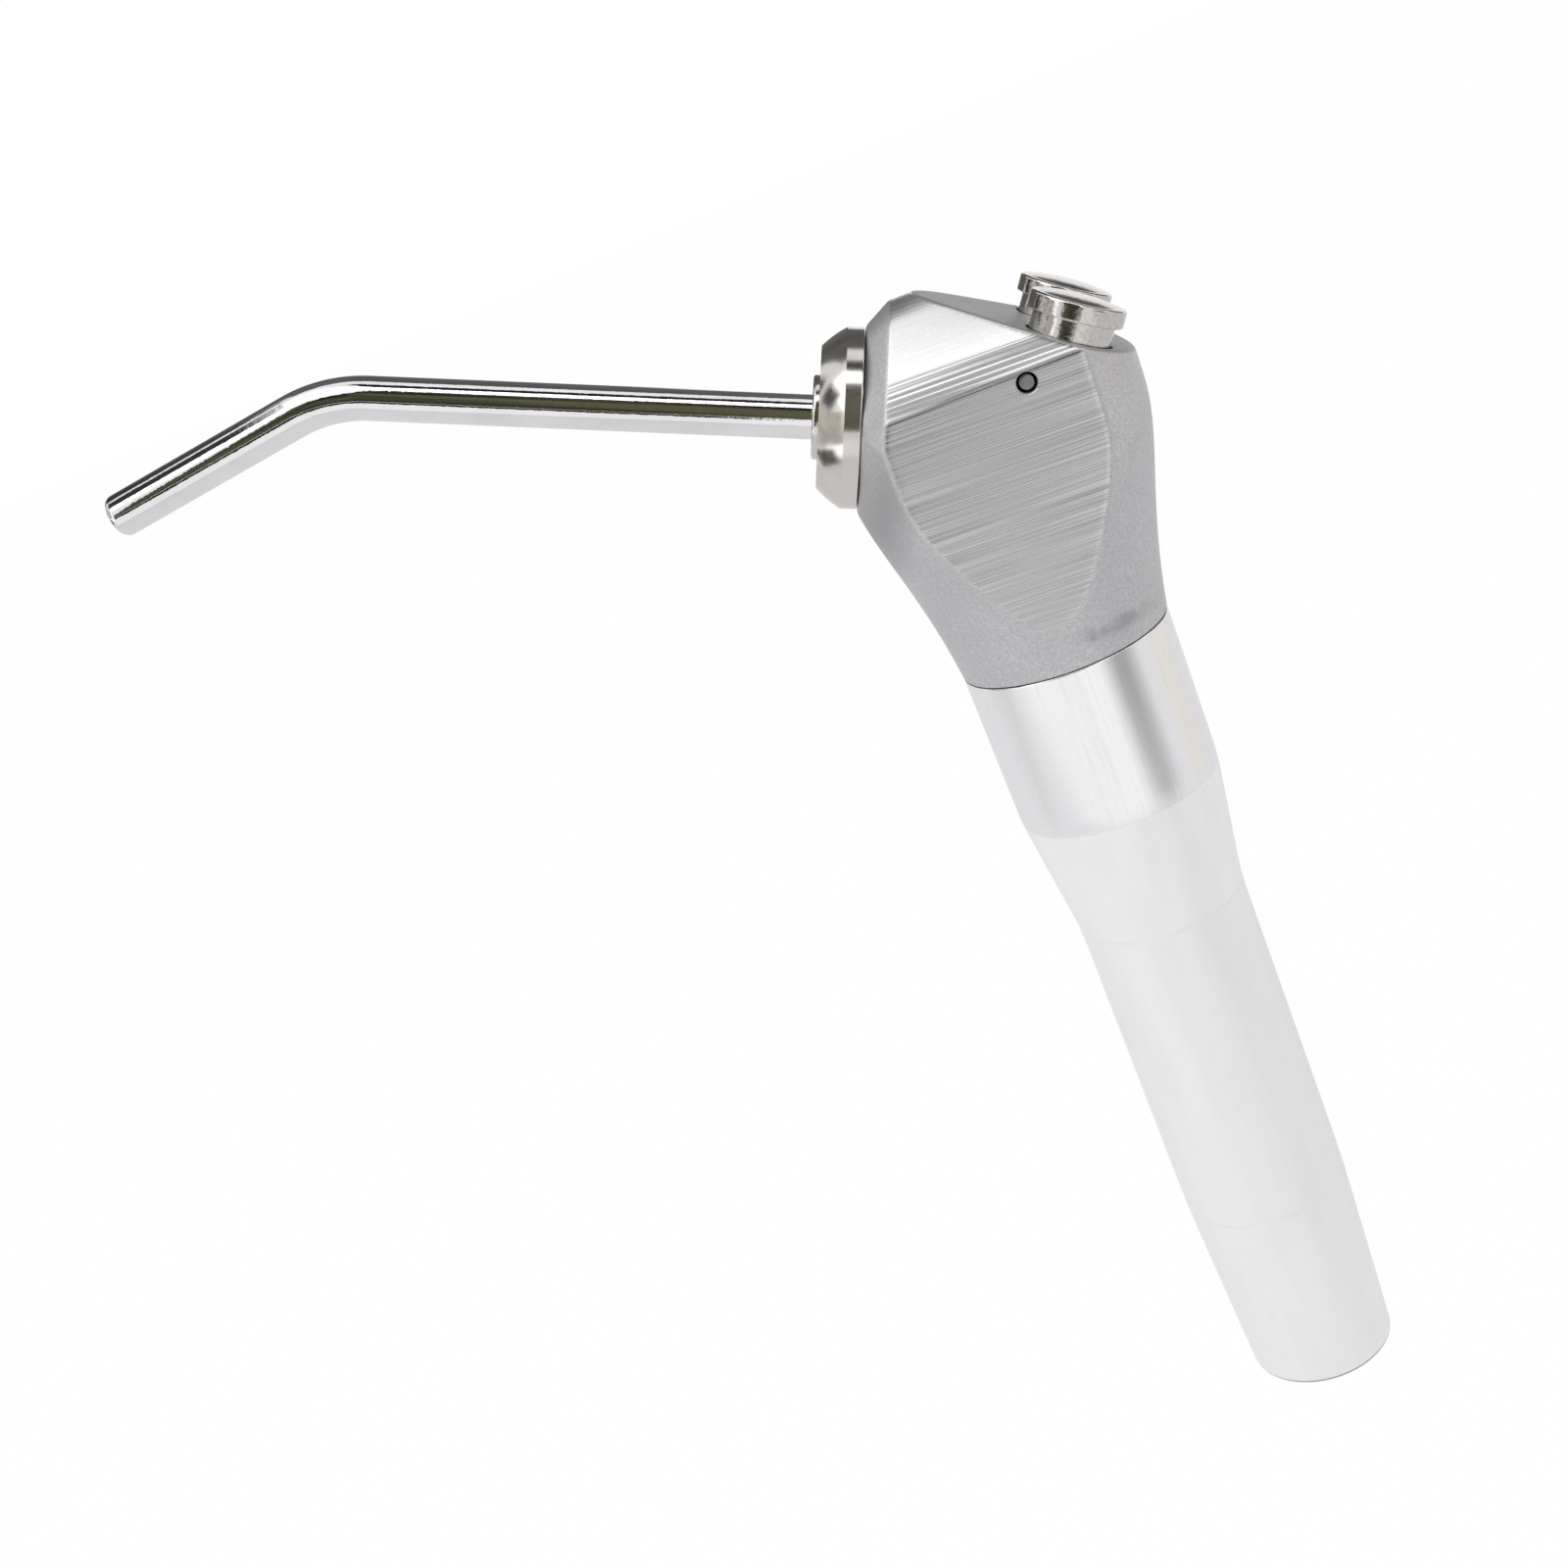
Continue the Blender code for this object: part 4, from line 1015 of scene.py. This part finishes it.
def hang_card(name, grid, finish):
    """Add a grid of points in metres as a card that only shows in reflections."""
    rows, columns = grid.shape[:2]
    index = np.arange(rows * columns).reshape(rows, columns)
    faces = np.stack((index[:-1, :-1], index[:-1, 1:], index[1:, 1:], index[1:, :-1]), axis=-1).reshape(-1, 4)
    mesh = bpy.data.meshes.new(name)
    mesh.from_pydata(grid.reshape(-1, 3).tolist(), [], faces.tolist())
    places = faces.ravel()
    sheet = np.stack((places % columns / (columns - 1), places // columns / (rows - 1)), axis=1)
    mesh.uv_layers.new(name="sheet").uv.foreach_set("vector", sheet.astype(np.float32).ravel())
    mesh.materials.append(finish)
    card = bpy.data.objects.new(name, mesh)
    bpy.context.scene.collection.objects.link(card)
    for kind in ("camera", "diffuse", "shadow", "transmission", "volume_scatter"):
        setattr(card, "visible_" + kind, False)
    card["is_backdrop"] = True


def reflection_cards(camera):
    """Hang dark cards that only metal sees: arcs round the camera's level axis, and upright ones.

    An arc is centre + r (back cos e + up sin e) + right s, for angles e above the line back to the camera.
    An upright card is centre + (r sin a, -r cos a, z), for angles a to the right of the front.
    """
    turn = camera.rotation_euler.to_matrix()
    right, up, back = (np.array(turn.col[index]) for index in range(3))
    centre = np.array((0.0, 0.0, 0.1))
    radius = 0.6
    arcs = (("front_card", -28.0, 37.0, -0.51, 0.06, (0.012, 0.012, 0.01), (0.12, 0.115, 0.07), 0.15),
            ("front_low_card", -36.0, -26.0, -0.47, -0.05, (0.02, 0.015, 0.012), (0.06, 0.05, 0.04), 0.3),
            ("divider_card", 50.0, 67.0, -0.6, 0.9, (0.01, 0.01, 0.01), (0.02, 0.02, 0.02), 0.2),
            ("top_card", 84.0, 143.0, -0.6, 0.9, (0.10, 0.10, 0.10), (0.15, 0.15, 0.15), 0.15),
            ("back_card", 134.0, 172.0, -0.9, -0.03, (0.10, 0.09, 0.08), (0.22, 0.20, 0.18), 0.3))
    for name, low, high, left, end, dark, light, soft in arcs:
        lift = np.radians(np.linspace(low, high, 24))[:, None, None]
        reach = np.linspace(left, end, 2)[None, :, None]
        grid = centre + radius * (back * np.cos(lift) + up * np.sin(lift)) + right * reach
        hang_card(name, grid, card_finish(name, dark, light, 0.004, (0.1, soft)))
    uprights = (("right_card", 20.0, 78.0, -0.30, 0.06, (0.26, 0.26, 0.26), (0.34, 0.34, 0.33), 0.9),
                ("cream_card", 86.0, 125.0, -0.30, 0.06, (0.80, 0.76, 0.70), (0.84, 0.80, 0.74), 0.3),
                ("left_card", -98.0, -70.0, -0.30, -0.15, (0.70, 0.70, 0.70), (0.78, 0.78, 0.78), 0.7),
                ("left_mid_card", -106.0, -70.0, -0.15, 0.0, (0.03, 0.035, 0.02), (0.10, 0.10, 0.07), 0.5),
                ("left_high_card", -125.0, -50.0, 0.0, 0.42, (0.50, 0.47, 0.43), (0.74, 0.71, 0.67), 0.3))
    for name, low, high, bottom, top, dark, light, soft in uprights:
        swing = np.radians(np.linspace(low, high, 12))[None, :]
        height = np.linspace(bottom, top, 2)[:, None]
        grid = np.stack((radius * np.sin(swing) + 0.0 * height, -radius * np.cos(swing) + 0.0 * height,
                         height + 0.0 * swing), axis=-1) + centre
        hang_card(name, grid, card_finish(name, dark, light, 0.006, (soft, 0.2)))
    for name, low, high in (("tip_card", -23.0, 4.0), ("tip_far_card", 11.0, 46.0)):
        lean, swing = np.linspace(-0.95, -0.12, 2)[None, :], np.radians(np.linspace(low, high, 24))[:, None]
        grid = np.stack(np.broadcast_arrays(lean, np.sin(swing), np.cos(swing)), axis=-1) * 0.12
        grid = grid + np.array((-0.07, 0.0, 0.1))
        hang_card(name, grid, card_finish(name, (0.04, 0.04, 0.042), (0.09, 0.09, 0.095), 0.01, (0.5, 0.1)))
    across, along = np.linspace(-1.5, 1.5, 2)[None, :], np.linspace(-0.48, 1.5, 2)[:, None]
    grid = np.stack(np.broadcast_arrays(across, along, -0.2), axis=-1)
    hang_card("low_card", grid, card_finish("low_card", (0.76, 0.76, 0.78), (0.80, 0.80, 0.81), 0.002, (0.1, 0.1)))


def soft_lights(scene):
    """Add a wide soft light above the front and a weaker one at the side."""
    target = Vector((0.0, 0.0, 0.1))
    lights = (("key", (-0.06, -0.28, 0.64), 1.0, 0.5, 1.9), ("side", (-0.6, -0.25, 0.25), 0.4, 0.5, 0.6))
    for name, place, wide, tall, power in lights:
        lamp = bpy.data.lights.new(name, "AREA")
        lamp.shape = "RECTANGLE"
        lamp.size = wide
        lamp.size_y = tall
        lamp.energy = power
        item = bpy.data.objects.new(name, lamp)
        item.location = place
        item.rotation_euler = (target - Vector(place)).to_track_quat("-Z", "Y").to_euler()
        scene.collection.objects.link(item)


class SYRINGE_PT_panel(bpy.types.Panel):
    """Lists the syringe's pieces, sizes and colours"""

    bl_idname = "SYRINGE_PT_panel"
    bl_label = "Three-way syringe"
    bl_space_type = "VIEW_3D"
    bl_region_type = "UI"
    bl_category = "Syringe"

    def draw(self, context):
        """Draw a button for each operator and a field for each size and colour."""
        for operator in OPERATORS:
            self.layout.operator(operator.bl_idname)
        for group in (sizes(), colours()):
            column = self.layout.column()
            for name in group.bl_rna.properties.keys():
                if name not in ("rna_type", "name"):
                    column.prop(group, name)


OPERATORS = (SYRINGE_OT_handle, SYRINGE_OT_head, SYRINGE_OT_nozzle, SYRINGE_OT_nut, SYRINGE_OT_buttons,
             SYRINGE_OT_pin, SYRINGE_OT_springs, SYRINGE_OT_inside, SYRINGE_OT_stage)
CLASSES = (SyringeSizes, SyringeColours, *OPERATORS, SYRINGE_PT_panel)


def register():
    """Register the classes and hang the sizes and colours on the scene."""
    for item in CLASSES:
        bpy.utils.register_class(item)
    bpy.types.Scene.syringe_sizes = bpy.props.PointerProperty(type=SyringeSizes)
    bpy.types.Scene.syringe_colours = bpy.props.PointerProperty(type=SyringeColours)


def unregister():
    """Take the classes and the scene's settings away again."""
    del bpy.types.Scene.syringe_colours
    del bpy.types.Scene.syringe_sizes
    for item in reversed(CLASSES):
        bpy.utils.unregister_class(item)


def main():
    """Register the add-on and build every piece."""
    register()
    for operator in OPERATORS:
        group, name = operator.bl_idname.split(".")
        getattr(getattr(bpy.ops, group), name)()
    boxes = {"cad": CAD_BOX, "visual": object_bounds()}
    boxes = {name: [[float(part) for part in point] for point in box] for name, box in boxes.items()}


if __name__ == "__main__":
    main()
